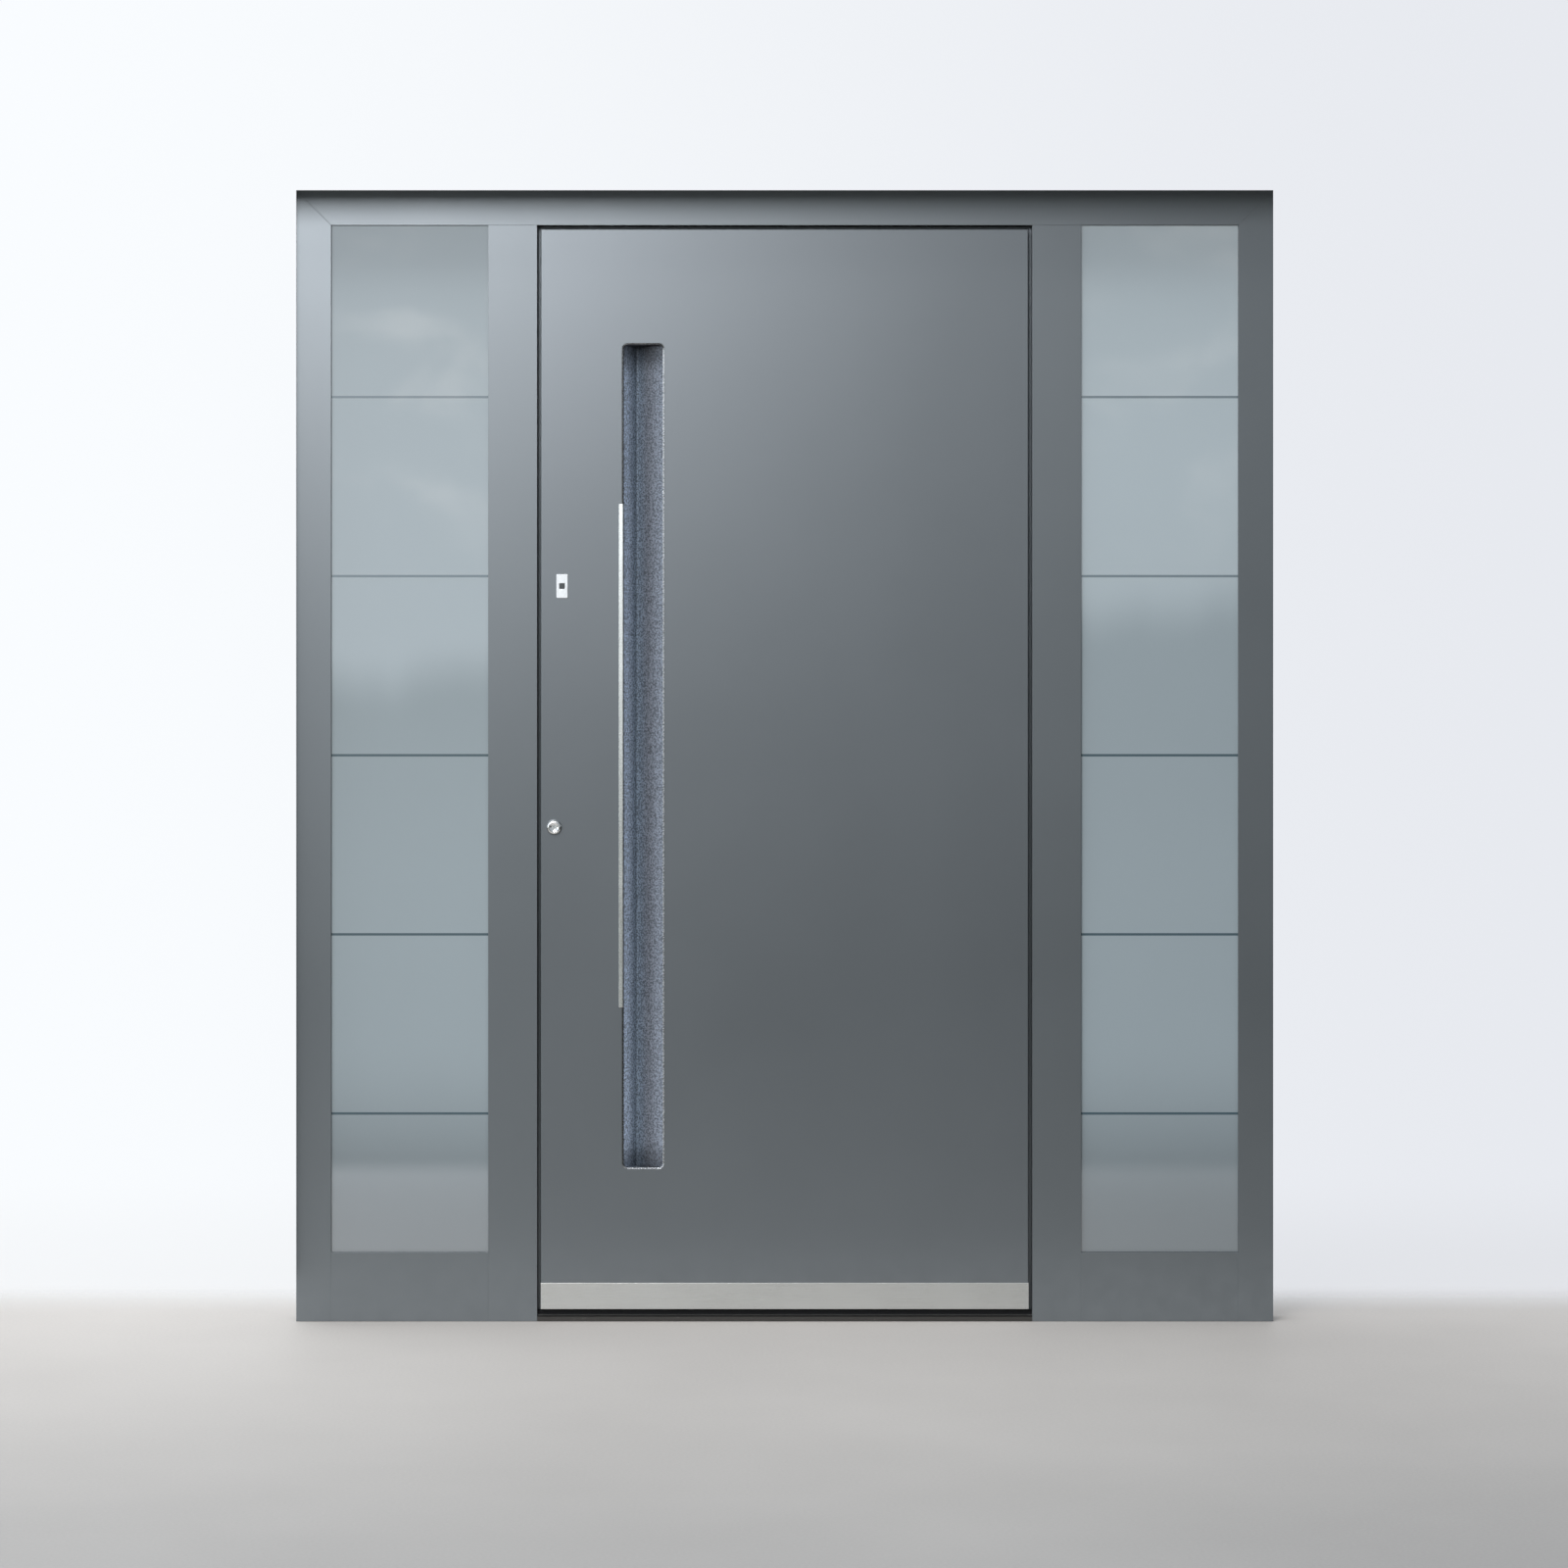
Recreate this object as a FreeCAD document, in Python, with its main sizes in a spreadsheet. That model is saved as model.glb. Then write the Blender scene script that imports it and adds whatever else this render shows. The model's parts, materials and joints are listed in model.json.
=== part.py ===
"""Aluminium entrance door with a fixed sidelight at each side.

The outside face looks along -Y and the house lies towards +Y. X runs to the right as seen
from outside, Z runs up, and the origin is the middle of the flat underside of the sill.
The leaf is hung on the right and opens into the house.
"""
import FreeCAD, Part
import Sketcher
import os

# Driving sizes in millimetres

SIZES = {
    # frame
    "frame_width": 2030.0,
    "frame_height": 2350.0,
    "frame_depth": 80.0,
    "frame_face": 72.5,
    "mullion_face": 101.5,
    "bottom_rail_face": 143.5,
    "door_opening": 1029.0,
    "outer_shell_depth": 30.0,
    "inner_shell_depth": 26.0,
    "profile_wall": 2.2,
    "strip_thickness": 2.5,
    "strip_inset": 3.0,
    "fixing_radius": 3.75,
    "fixing_bottom_margin": 250.0,
    "fixing_top_margin": 300.0,
    # glazing
    "glass_cover": 22.0,
    "lip_thickness": 3.0,
    "gasket_thickness": 3.0,
    "gasket_width": 9.0,
    "glass_edge_gap": 5.0,
    "outer_pane_thickness": 6.0,
    "middle_pane_thickness": 4.0,
    "inner_pane_thickness": 6.0,
    "pane_cavity": 14.0,
    "spacer_width": 8.0,
    "bead_wall": 1.6,
    "bead_bevel": 3.0,
    "bead_joint": 0.2,
    # leaf
    "leaf_gap": 7.7,
    "leaf_ground_gap": 25.4,
    "rebate_step": 15.0,
    "stop_gap": 5.0,
    "stop_gasket_gap": 0.5,
    "stop_gasket_edge": 1.0,
    "stop_gasket_width": 7.0,
    "stop_gasket_foot": 2.0,
    "groove_width": 3.0,
    "groove_depth": 2.5,
    "groove_play": 0.1,
    "skin_thickness": 3.0,
    "skin_edge_round": 2.2,
    "leaf_stile_width": 40.0,
    "leaf_outer_shell": 21.0,
    "leaf_inner_shell": 31.0,
    "rebate_lip": 13.0,
    # grip trough
    "trough_inset": 169.1,
    "trough_width": 87.5,
    "trough_bottom_margin": 290.6,
    "trough_top_margin": 237.8,
    "trough_corner": 12.0,
    "trough_rim": 3.4,
    "rim_bevel": 2.8,
    "trough_depth": 42.0,
    "trough_valley": 26.0,
    "trough_valley_round": 2.5,
    "trough_wall": 2.0,
    "seat_gap": 0.3,
    # grip bar
    "bar_width": 9.2,
    "bar_thickness": 6.0,
    "bar_overlap": 2.3,
    "bar_bottom_margin": 336.0,
    "bar_top_margin": 333.4,
    "bar_round": 1.6,
    "bar_bevel": 1.0,
    # fingerprint reader
    "reader_inset": 44.3,
    "reader_height_up": 1527.5,
    "reader_width": 24.0,
    "reader_height": 50.0,
    "reader_proud": 2.0,
    "reader_flange": 2.0,
    "reader_round": 2.0,
    "reader_bevel": 0.6,
    "sensor_side": 12.0,
    "sensor_recess": 0.6,
    "sensor_play": 0.1,
    # lock
    "lock_inset": 27.8,
    "cylinder_height_up": 1026.6,
    "rosette_radius": 16.0,
    "rosette_height": 9.0,
    "rosette_top_radius": 11.4,
    "rosette_edge": 1.5,
    "plug_radius": 10.0,
    "plug_clearance": 0.3,
    "plug_recess": 1.5,
    "dish_radius": 5.5,
    "dish_depth": 1.8,
    "key_slot_height": 8.5,
    "key_slot_width": 2.4,
    "key_slot_depth": 6.0,
    "cylinder_radius": 8.5,
    "handle_above_cylinder": 92.0,
    "rose_radius": 16.0,
    "rose_thickness": 8.0,
    "lever_radius": 9.5,
    "lever_stand_off": 52.0,
    "lever_length": 128.0,
    "lever_bevel": 1.0,
    "faceplate_width": 22.0,
    "faceplate_thickness": 2.0,
    "faceplate_bottom_margin": 220.0,
    "faceplate_top_margin": 275.0,
    "faceplate_play": 0.1,
    "case_width": 18.0,
    "case_back_gap": 1.0,
    "case_margin": 70.0,
    "end_case_margin": 45.0,
    "bolt_width": 14.0,
    "bolt_depth": 18.0,
    "bolt_height": 38.0,
    "bolt_end_margin": 120.0,
    "dead_bolt_drop": 30.0,
    "latch_drop": 10.0,
    "strike_thickness": 2.0,
    "strike_margin": 120.0,
    "strike_width": 25.0,
    "strike_pocket_depth": 12.0,
    # kick plate
    "kick_height": 54.5,
    "kick_thickness": 1.2,
    # hinges
    "hinge_setback": 14.5,
    "knuckle_radius": 10.0,
    "pin_radius": 5.0,
    "pin_clearance": 0.05,
    "knuckle_height": 40.0,
    "knuckle_gap": 0.5,
    "hinge_plate_width": 34.0,
    "hinge_plate_thickness": 4.0,
    "hinge_neck_thickness": 7.0,
    "hinge_plate_play": 1.0,
    "hinge_bottom_margin": 220.0,
    "hinge_top_margin": 174.0,
    # sill
    "sill_nose_height": 9.0,
    "sill_height": 12.5,
    "sill_slope_depth": 6.0,
    "sill_outer_depth": 18.0,
    "sill_upstand_height": 20.0,
    "sill_inner_height": 5.0,
    "sill_ramp_depth": 9.0,
    "sill_ramp_edge": 1.5,
    "sill_groove_pitch": 4.0,
    "sill_groove_depth": 1.0,
    "bottom_seal_gap": 0.6,
    "bottom_seal_width": 12.0,
    "kick_bevel": 0.8,
}

FIXINGS = 4
HINGES = ("low", "middle", "high")
SILL_GROOVES = 3

doc = FreeCAD.newDocument("door_with_sidelights")
sheet = doc.addObject("Spreadsheet::Sheet", "sizes")
for row, (alias, number) in enumerate(SIZES.items(), 1):
    sheet.set(f"A{row}", alias.replace("_", " "))
    sheet.set(f"B{row}", str(number))
    sheet.setAlias(f"B{row}", alias)
doc.recompute()


class Size:
    """A length that carries its number and the sheet formula that it is worked out by."""

    def __init__(self, number, formula):
        self.number = float(number)
        self.formula = formula

    def __add__(self, other):
        other = as_size(other)
        return Size(self.number + other.number, f"({self.formula} + {other.formula})")

    def __sub__(self, other):
        other = as_size(other)
        return Size(self.number - other.number, f"({self.formula} - {other.formula})")

    def __mul__(self, other):
        other = as_size(other)
        return Size(self.number * other.number, f"({self.formula} * {other.formula})")

    def __truediv__(self, other):
        other = as_size(other)
        return Size(self.number / other.number, f"({self.formula} / {other.formula})")

    def __neg__(self):
        return Size(-self.number, f"(0 - {self.formula})")

    def __radd__(self, other):
        return as_size(other) + self

    def __rsub__(self, other):
        return as_size(other) - self

    def __rmul__(self, other):
        return as_size(other) * self

    def root(self):
        return Size(self.number ** 0.5, f"sqrt({self.formula})")


def as_size(value):
    """A Size from a plain number, or the Size itself."""
    if isinstance(value, Size):
        return value
    return Size(value, f"({float(value)})")


def size(alias):
    """The sheet's value of that name."""
    return Size(sheet.get(alias), f"sizes.{alias}")


def bind(feature, **properties):
    """Tie each property of the feature to its size."""
    for name, value in properties.items():
        feature.setExpression(name, as_size(value).formula)


def place(feature, x=0, y=0, z=0):
    """Tie the feature's place to three sizes."""
    for axis, value in (("x", x), ("y", y), ("z", z)):
        feature.setExpression(f"Placement.Base.{axis}", as_size(value).formula)


# Bodies made from sketched sections

def new_body(label):
    body = doc.addObject("PartDesign::Body", label)
    body.Label = label
    return body


def new_sketch(body, plane, offset=0):
    """A sketch on the body's own origin plane, moved along the plane's normal."""
    sketch = body.newObject("Sketcher::SketchObject", body.Label + "_section")
    support = [item for item in body.Origin.OriginFeatures if getattr(item, "Role", "") == plane]
    sketch.AttachmentSupport = [(support[0], "")]
    sketch.MapMode = "FlatFace"
    sketch.setExpression("AttachmentOffset.Base.z", as_size(offset).formula)
    return sketch


def draw_loop(sketch, corners):
    """A closed run of straight lines whose corners are each held by two sizes."""
    corners = [(as_size(across), as_size(up)) for across, up in corners]
    spots = [FreeCAD.Vector(across.number, up.number, 0) for across, up in corners]
    first = sketch.GeometryCount
    count = len(corners)
    sketch.addGeometry([Part.LineSegment(spots[i], spots[(i + 1) % count]) for i in range(count)])
    sketch.addConstraint([
        Sketcher.Constraint("Coincident", first + i, 2, first + (i + 1) % count, 1)
        for i in range(count)])
    for i, corner in enumerate(corners):
        for kind, length in zip(("DistanceX", "DistanceY"), corner):
            rule = Sketcher.Constraint(kind, -1, 1, first + i, 1, length.number)
            number = sketch.addConstraint(rule)
            sketch.setExpression(f"Constraints[{number}]", length.formula)


def draw_circle(sketch, across, up, radius):
    """A circle held by its centre and radius."""
    across, up, radius = as_size(across), as_size(up), as_size(radius)
    centre = FreeCAD.Vector(across.number, up.number, 0)
    circle = sketch.addGeometry(Part.Circle(centre, FreeCAD.Vector(0, 0, 1), radius.number))
    rules = (
        (Sketcher.Constraint("DistanceX", -1, 1, circle, 3, across.number), across),
        (Sketcher.Constraint("DistanceY", -1, 1, circle, 3, up.number), up),
        (Sketcher.Constraint("Radius", circle, radius.number), radius))
    for rule, length in rules:
        number = sketch.addConstraint(rule)
        sketch.setExpression(f"Constraints[{number}]", length.formula)


def rectangle(left, right, low, high):
    return [(left, low), (right, low), (right, high), (left, high)]


def pad(body, sketch, length):
    feature = body.newObject("PartDesign::Pad", body.Label + "_pad")
    feature.Profile = sketch
    bind(feature, Length=length)
    return feature


def pocket_through(body, sketch):
    """Cut the sketch's loops through the whole body, both ways."""
    feature = body.newObject("PartDesign::Pocket", body.Label + "_cut")
    feature.Profile = sketch
    feature.Type = "ThroughAll"
    feature.SideType = "Symmetric"
    return feature


def pocket_deep(body, sketch, depth):
    """Cut the sketch's loops to a depth against the plane's normal."""
    feature = body.newObject("PartDesign::Pocket", body.Label + "_recess")
    feature.Profile = sketch
    bind(feature, Length=depth)
    return feature


def upright(label, loops, low, high):
    """A section in plan (x, y) drawn out upwards from low to high."""
    body = new_body(label)
    sketch = new_sketch(body, "XY_Plane", low)
    for loop in loops:
        draw_loop(sketch, loop)
    pad(body, sketch, as_size(high) - low)
    return body


def crosswise(label, loops, left, right):
    """A section seen from the side (y, z) drawn out from left to right."""
    body = new_body(label)
    sketch = new_sketch(body, "YZ_Plane", left)
    for loop in loops:
        draw_loop(sketch, loop)
    pad(body, sketch, as_size(right) - left)
    return body


def sheet_like(label, loops, front, back):
    """An outline seen from the front (x, z) drawn out from front to back."""
    body = new_body(label)
    sketch = new_sketch(body, "XZ_Plane", -as_size(back))
    for loop in loops:
        draw_loop(sketch, loop)
    pad(body, sketch, as_size(back) - front)
    return body


def mitre(body, corner_x, corner_z, inward_x, inward_z, reach, member):
    """Cut a member's end on the 45 degree line that runs inwards from the corner."""
    spare = 5
    tip = (corner_x - inward_x * spare, corner_z - inward_z * spare)
    root = (corner_x + inward_x * reach, corner_z + inward_z * reach)
    third = (root[0], tip[1]) if member == "upright" else (tip[0], root[1])
    sketch = new_sketch(body, "XZ_Plane")
    draw_loop(sketch, [tip, root, third])
    pocket_through(body, sketch)


def round_edges(body, radius, wanted):
    """Round those edges of the body that the test picks."""
    doc.recompute()
    base = body.Tip
    names = [f"Edge{i}" for i, edge in enumerate(base.Shape.Edges, 1) if wanted(edge)]
    feature = body.newObject("PartDesign::Fillet", body.Label + "_round")
    feature.Base = (base, names)
    bind(feature, Radius=radius)
    return feature


def bevel_edges(body, length, wanted):
    """Bevel those edges of the body that the test picks."""
    doc.recompute()
    base = body.Tip
    names = [f"Edge{i}" for i, edge in enumerate(base.Shape.Edges, 1) if wanted(edge)]
    feature = body.newObject("PartDesign::Chamfer", body.Label + "_bevel")
    feature.Base = (base, names)
    bind(feature, Size=length)
    return feature


def runs_along(direction, **where):
    """A test for straight edges along an axis that lie at the given coordinates."""
    def wanted(edge):
        if edge.Curve.TypeId != "Part::GeomLine":
            return False
        if abs(getattr(edge.tangentAt(edge.FirstParameter), direction)) < 0.999:
            return False
        middle = edge.CenterOfMass
        return all(
            min(abs(getattr(middle, axis) - as_size(spot).number) for spot in spots) < 0.01
            for axis, spots in where.items())
    return wanted


def lies_in(axis, spot):
    """A test for edges that lie wholly in the plane across the axis at the spot."""
    def wanted(edge):
        low = getattr(edge.BoundBox, axis.upper() + "Min")
        high = getattr(edge.BoundBox, axis.upper() + "Max")
        return max(abs(low - as_size(spot).number), abs(high - as_size(spot).number)) < 0.01
    return wanted


def within(axis, low, high):
    """A test for edges that keep between two planes across the axis."""
    def wanted(edge):
        starts = getattr(edge.BoundBox, axis.upper() + "Min")
        ends = getattr(edge.BoundBox, axis.upper() + "Max")
        return starts > as_size(low).number - 0.01 and ends < as_size(high).number + 0.01
    return wanted


def all_of(*tests):
    """A test for edges that every one of the tests picks."""
    return lambda edge: all(test(edge) for test in tests)


def any_of(*tests):
    """A test for edges that at least one of the tests picks."""
    return lambda edge: any(test(edge) for test in tests)


# Pieces made from solids

def block(label, left, right, front, back, low, high):
    feature = doc.addObject("Part::Box", label)
    feature.Label = label
    bind(feature, Length=as_size(right) - left, Width=as_size(back) - front,
         Height=as_size(high) - low)
    place(feature, left, front, low)
    return feature


def rod(label, x, y, z, radius, length, along="z"):
    """A round bar that starts at (x, y, z)."""
    feature = doc.addObject("Part::Cylinder", label)
    feature.Label = label
    turn = {"z": (0, 0, 1, 0), "x": (0, 1, 0, 90), "y": (1, 0, 0, -90)}[along]
    axis = FreeCAD.Vector(*turn[:3])
    feature.Placement = FreeCAD.Placement(FreeCAD.Vector(), FreeCAD.Rotation(axis, turn[3]))
    bind(feature, Radius=radius, Height=length)
    place(feature, x, y, z)
    return feature


def cut(label, base, tool):
    feature = doc.addObject("Part::Cut", label)
    feature.Label = label
    feature.Base = base
    feature.Tool = tool
    return feature


def common(label, base, tool):
    feature = doc.addObject("Part::Common", label)
    feature.Label = label
    feature.Base = base
    feature.Tool = tool
    return feature


def fuse(label, pieces):
    feature = doc.addObject("Part::MultiFuse", label)
    feature.Label = label
    feature.Shapes = pieces
    return feature


def group(label, pieces):
    """Like pieces that share a node as separate solids."""
    feature = doc.addObject("Part::Compound", label)
    feature.Label = label
    feature.Links = pieces
    return feature


# Lines that the pieces share

half_width = size("frame_width") / 2
frame_top = size("frame_height")
front = -(size("frame_depth") / 2)
back = size("frame_depth") / 2
wall = size("profile_wall")
cover = size("glass_cover")
stop_face = front + size("outer_shell_depth")
inner_front = back - size("inner_shell_depth")
step = size("rebate_step")
half_door = size("door_opening") / 2
door_top = frame_top - size("frame_face")
rail_top = size("bottom_rail_face")
mullion_outer = half_door + size("mullion_face")

glass_front = front + size("lip_thickness") + size("gasket_thickness")
middle_front = glass_front + size("outer_pane_thickness") + size("pane_cavity")
inner_pane_front = middle_front + size("middle_pane_thickness") + size("pane_cavity")
glass_back = inner_pane_front + size("inner_pane_thickness")
bead_front = glass_back + size("gasket_thickness")

leaf_half = half_door - size("leaf_gap")
leaf_top = door_top - size("leaf_gap")
leaf_bottom = size("leaf_ground_gap")
skin = size("skin_thickness")
rebate_face = stop_face + size("stop_gap")
leaf_half_inner = leaf_half + step
leaf_top_inner = leaf_top + step
leaf_bottom_inner = leaf_bottom - step
lock_x = -(leaf_half - size("lock_inset"))
cylinder_z = size("cylinder_height_up")
handle_z = cylinder_z + size("handle_above_cylinder")
cylinder_bore = size("cylinder_radius") + size("seat_gap")
plate_low = leaf_bottom_inner + size("faceplate_bottom_margin")
plate_high = leaf_top_inner - size("faceplate_top_margin")
bolt_heights = (plate_low + size("bolt_end_margin"), cylinder_z - size("dead_bolt_drop"),
                handle_z - size("latch_drop"), plate_high - size("bolt_end_margin"))
half_bolt = size("bolt_width") / 2
half_bolt_height = size("bolt_height") / 2
inner_shell_back = back - skin
inner_shell_front = inner_shell_back - size("leaf_inner_shell")
bolt_line = (inner_shell_front + inner_shell_back) / 2

nodes = []


def keep(*features):
    nodes.extend(features)


# Frame profiles: an outer and an inner aluminium shell with a glazing rebate between lips

def groove_corners(side):
    """Corners of the seal's groove in the stop, from the far side to the near side."""
    near = size("stop_gasket_edge") + size("stop_gasket_foot")
    far = near + size("groove_width")
    floor = stop_face - size("groove_depth")
    return [(side(far), stop_face), (side(far), floor), (side(near), floor),
            (side(near), stop_face)]


def shell_loops(side, face, inner_start=0, grooved=False):
    """Plan of a frame profile. side(u) gives the coordinate at u from the profile's back edge;
    the lip reaches to the face width and the chambers stop short of it by the glass cover.
    A grooved profile holds the stop's seal along its door side."""
    body_edge = face - cover
    chamber_back = stop_face - wall
    groove = []
    if grooved:
        groove = groove_corners(side)
        chamber_back = chamber_back - size("groove_depth")
    outer = [
        (side(0), front), (side(face), front), (side(face), lip_back),
        (side(body_edge), lip_back), (side(body_edge), stop_face), *groove,
        (side(0), stop_face)]
    outer_chamber = rectangle(side(wall), side(body_edge - wall), front + wall, chamber_back)
    inner_outline = rectangle(side(inner_start), side(body_edge), inner_front, back)
    inner_chamber = rectangle(
        side(inner_start + wall), side(body_edge - wall), inner_front + wall, back - wall)
    return [outer, outer_chamber, inner_outline, inner_chamber]


def strip_loops(side, face, inner_start=0):
    """Plan of the two insulating strips that join the shells of a frame profile."""
    body_edge = face - cover
    inset = size("strip_inset")
    thick = size("strip_thickness")
    return [
        rectangle(side(inner_start + inset), side(inner_start + inset + thick),
                  stop_face, inner_front),
        rectangle(side(body_edge - inset - thick), side(body_edge - inset),
                  stop_face, inner_front)]


def turned(loops):
    """The same plan for a member that lies along X: (u, y) becomes (y, u)."""
    return [[(y, u) for u, y in loop] for loop in loops]


def notch(body, plane, loops):
    """Mill a member's end away where it seats behind the lip of the profile that it meets."""
    sketch = new_sketch(body, plane)
    for loop in loops:
        draw_loop(sketch, loop)
    pocket_through(body, sketch)


face = size("frame_face")
body_width = face - cover
lip_back = front + size("lip_thickness")
strips = []

for sign, name in ((-1, "left"), (1, "right")):
    stile = upright(f"{name}_stile",
                    shell_loops(lambda u: sign * (half_width - u), face), 0, frame_top)
    mitre(stile, sign * half_width, frame_top, -sign, -1, face + 5, "upright")
    holes = new_sketch(stile, "YZ_Plane")
    lowest = size("fixing_bottom_margin")
    spacing = (frame_top - size("fixing_top_margin") - lowest) / (FIXINGS - 1)
    for number in range(FIXINGS):
        draw_circle(holes, (inner_front + back) / 2, lowest + number * spacing,
                    size("fixing_radius"))
    pocket_through(stile, holes)
    keep(stile)
    strips.append(upright(f"{name}_stile_strips",
                          strip_loops(lambda u: sign * (half_width - u), face),
                          0, frame_top - body_width))

    mullion = upright(f"{name}_mullion",
                      shell_loops(lambda u: sign * (half_door + u), size("mullion_face"), step,
                                  grooved=True),
                      0, frame_top - body_width)
    notch(mullion, "YZ_Plane", [rectangle(front, lip_back, door_top, frame_top)])
    if sign < 0:
        keeps = new_sketch(mullion, "YZ_Plane", -(half_door + step))
        for height in (cylinder_z - size("dead_bolt_drop"), handle_z - size("latch_drop")):
            draw_loop(keeps, rectangle(bolt_line - half_bolt, bolt_line + half_bolt,
                                       height - half_bolt_height, height + half_bolt_height))
        pocket_deep(mullion, keeps, size("strike_pocket_depth"))
    keep(mullion)
    strips.append(upright(f"{name}_mullion_strips",
                          strip_loops(lambda u: sign * (half_door + u),
                                      size("mullion_face"), step),
                          0, frame_top - body_width))

    inner_end = sign * (mullion_outer - cover)
    outer_end = sign * (half_width - body_width)
    low_x, high_x = (outer_end, inner_end) if sign < 0 else (inner_end, outer_end)
    rail = crosswise(f"{name}_bottom_rail",
                     turned(shell_loops(lambda u: as_size(u), rail_top)), low_x, high_x)
    notch(rail, "XY_Plane", [
        rectangle(low_x, low_x + cover, front, lip_back),
        rectangle(high_x - cover, high_x, front, lip_back)])
    keep(rail)
    strips.append(crosswise(f"{name}_bottom_rail_strips",
                            turned(strip_loops(lambda u: as_size(u), rail_top)), low_x, high_x))

head = crosswise("head", turned(shell_loops(lambda u: frame_top - u, face)),
                 -half_width, half_width)
for sign in (-1, 1):
    mitre(head, sign * half_width, frame_top, -sign, -1, face + 5, "crosswise")
keep(head)
strips.append(crosswise("head_strips", turned(strip_loops(lambda u: frame_top - u, face)),
                        -(half_width - body_width), half_width - body_width))
keep(group("frame_thermal_strips", strips))

# Lips of the mullions and rails meet the stiles' lips in the corners of each sidelight, so the
# door's head adaptor fills the head's rebate between the mullions

adaptor_top = frame_top - body_width
adaptor_groove = [(y, z) for z, y in reversed(groove_corners(lambda u: door_top + u))]
door_head = crosswise("door_head", [
    [(lip_back, door_top), (stop_face, door_top), *adaptor_groove,
     (stop_face, door_top + step), (back, door_top + step), (back, adaptor_top),
     (lip_back, adaptor_top)],
    rectangle(lip_back + wall, stop_face - wall - size("groove_depth"),
              door_top + wall, adaptor_top - wall)],
    -half_door, half_door)
keep(door_head)

# Sidelight glazing


def bead_loops(seen_edge, outward):
    """Plan of a hollow bead with a bevelled nose, clipped in behind the seen edge."""
    bead_wall = size("bead_wall")
    bevel = size("bead_bevel")
    foot = seen_edge + outward * cover
    outline = [
        (seen_edge, bead_front), (seen_edge, back - bevel), (seen_edge + outward * bevel, back),
        (foot, back), (foot, bead_front)]
    chamber = rectangle(seen_edge + outward * (bevel + bead_wall), foot - outward * bead_wall,
                        bead_front + bead_wall, back - bead_wall)
    return [outline, chamber]


for sign, name in ((-1, "left"), (1, "right")):
    open_outer = sign * (half_width - face)
    open_inner = sign * mullion_outer
    seen_left, seen_right = (open_outer, open_inner) if sign < 0 else (open_inner, open_outer)

    def inset_loop(inset):
        """The outline of the seen glass, grown outwards by a negative inset."""
        return rectangle(seen_left + inset, seen_right - inset,
                         rail_top + inset, door_top - inset)

    pane_reach = -(cover - size("glass_edge_gap"))
    keep(sheet_like(f"{name}_outer_pane", [inset_loop(pane_reach)],
                    glass_front, glass_front + size("outer_pane_thickness")))
    keep(group(f"{name}_inner_panes", [
        sheet_like(f"{name}_middle_pane", [inset_loop(pane_reach)],
                   middle_front, middle_front + size("middle_pane_thickness")),
        sheet_like(f"{name}_inside_pane", [inset_loop(pane_reach)],
                   inner_pane_front, glass_back)]))
    spacer_reach = pane_reach + size("spacer_width")
    keep(group(f"{name}_spacers", [
        sheet_like(f"{name}_{place_name}_spacer", [inset_loop(pane_reach), inset_loop(spacer_reach)],
                   start, start + size("pane_cavity"))
        for place_name, start in (
            ("outer", glass_front + size("outer_pane_thickness")),
            ("inner", middle_front + size("middle_pane_thickness")))]))
    gasket_reach = -size("gasket_width")
    keep(group(f"{name}_glazing_gaskets", [
        sheet_like(f"{name}_outer_gasket", [inset_loop(gasket_reach), inset_loop(0)],
                   lip_back, glass_front),
        sheet_like(f"{name}_inner_gasket", [inset_loop(gasket_reach), inset_loop(0)],
                   glass_back, bead_front)]))

    beads = []
    for side_name, seen_edge, outward in (("top", door_top, 1), ("bottom", rail_top, -1)):
        beads.append(crosswise(f"{name}_{side_name}_bead", turned(bead_loops(seen_edge, outward)),
                               seen_left - cover, seen_right + cover))
    for side_name, seen_edge, outward in (("left", seen_left, -1), ("right", seen_right, 1)):
        beads.append(upright(f"{name}_{side_name}_bead", bead_loops(seen_edge, outward),
                             rail_top + size("bead_joint"), door_top - size("bead_joint")))
    keep(group(f"{name}_glazing_beads", beads))

# Sill of the door

sill_front_back = front + size("sill_outer_depth")
groove_depth = size("sill_groove_depth")


def grooved_top(start, end, height):
    """Corners of a walked-on top with small V grooves, from its back edge to its front edge."""
    middle = (as_size(start) + end) / 2
    corners = []
    for number in range(SILL_GROOVES):
        spot = middle + (SILL_GROOVES - 1 - 2 * number) * size("sill_groove_pitch") / 2
        corners += [(spot + groove_depth, height), (spot, height - groove_depth),
                    (spot - groove_depth, height)]
    return corners


slope_end = front + size("sill_slope_depth")
keep(crosswise("threshold_outer", [[
    (front, 0), (sill_front_back, 0), (sill_front_back, size("sill_height")),
    *grooved_top(slope_end, sill_front_back, size("sill_height")),
    (slope_end, size("sill_height")), (front, size("sill_nose_height"))]],
    -half_door, half_door))
upstand = size("sill_upstand_height")
upstand_groove = [(y, z) for z, y in groove_corners(lambda u: upstand - u)]
keep(crosswise("threshold_core", [[
    (sill_front_back, 0), (stop_face, 0), *upstand_groove, (stop_face, upstand),
    (sill_front_back, upstand)]], -half_door, half_door))
ramp_start = back - size("sill_ramp_depth")
inner_height = size("sill_inner_height")
keep(crosswise("threshold_inner", [[
    (stop_face, 0), (back, 0), (back, size("sill_ramp_edge")), (ramp_start, inner_height),
    *grooved_top(stop_face, ramp_start, inner_height), (stop_face, inner_height)]],
    -half_door, half_door))

# Sealing strip on the frame's stop

gasket_back = rebate_face - size("stop_gasket_gap")
play = size("groove_play")


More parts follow.
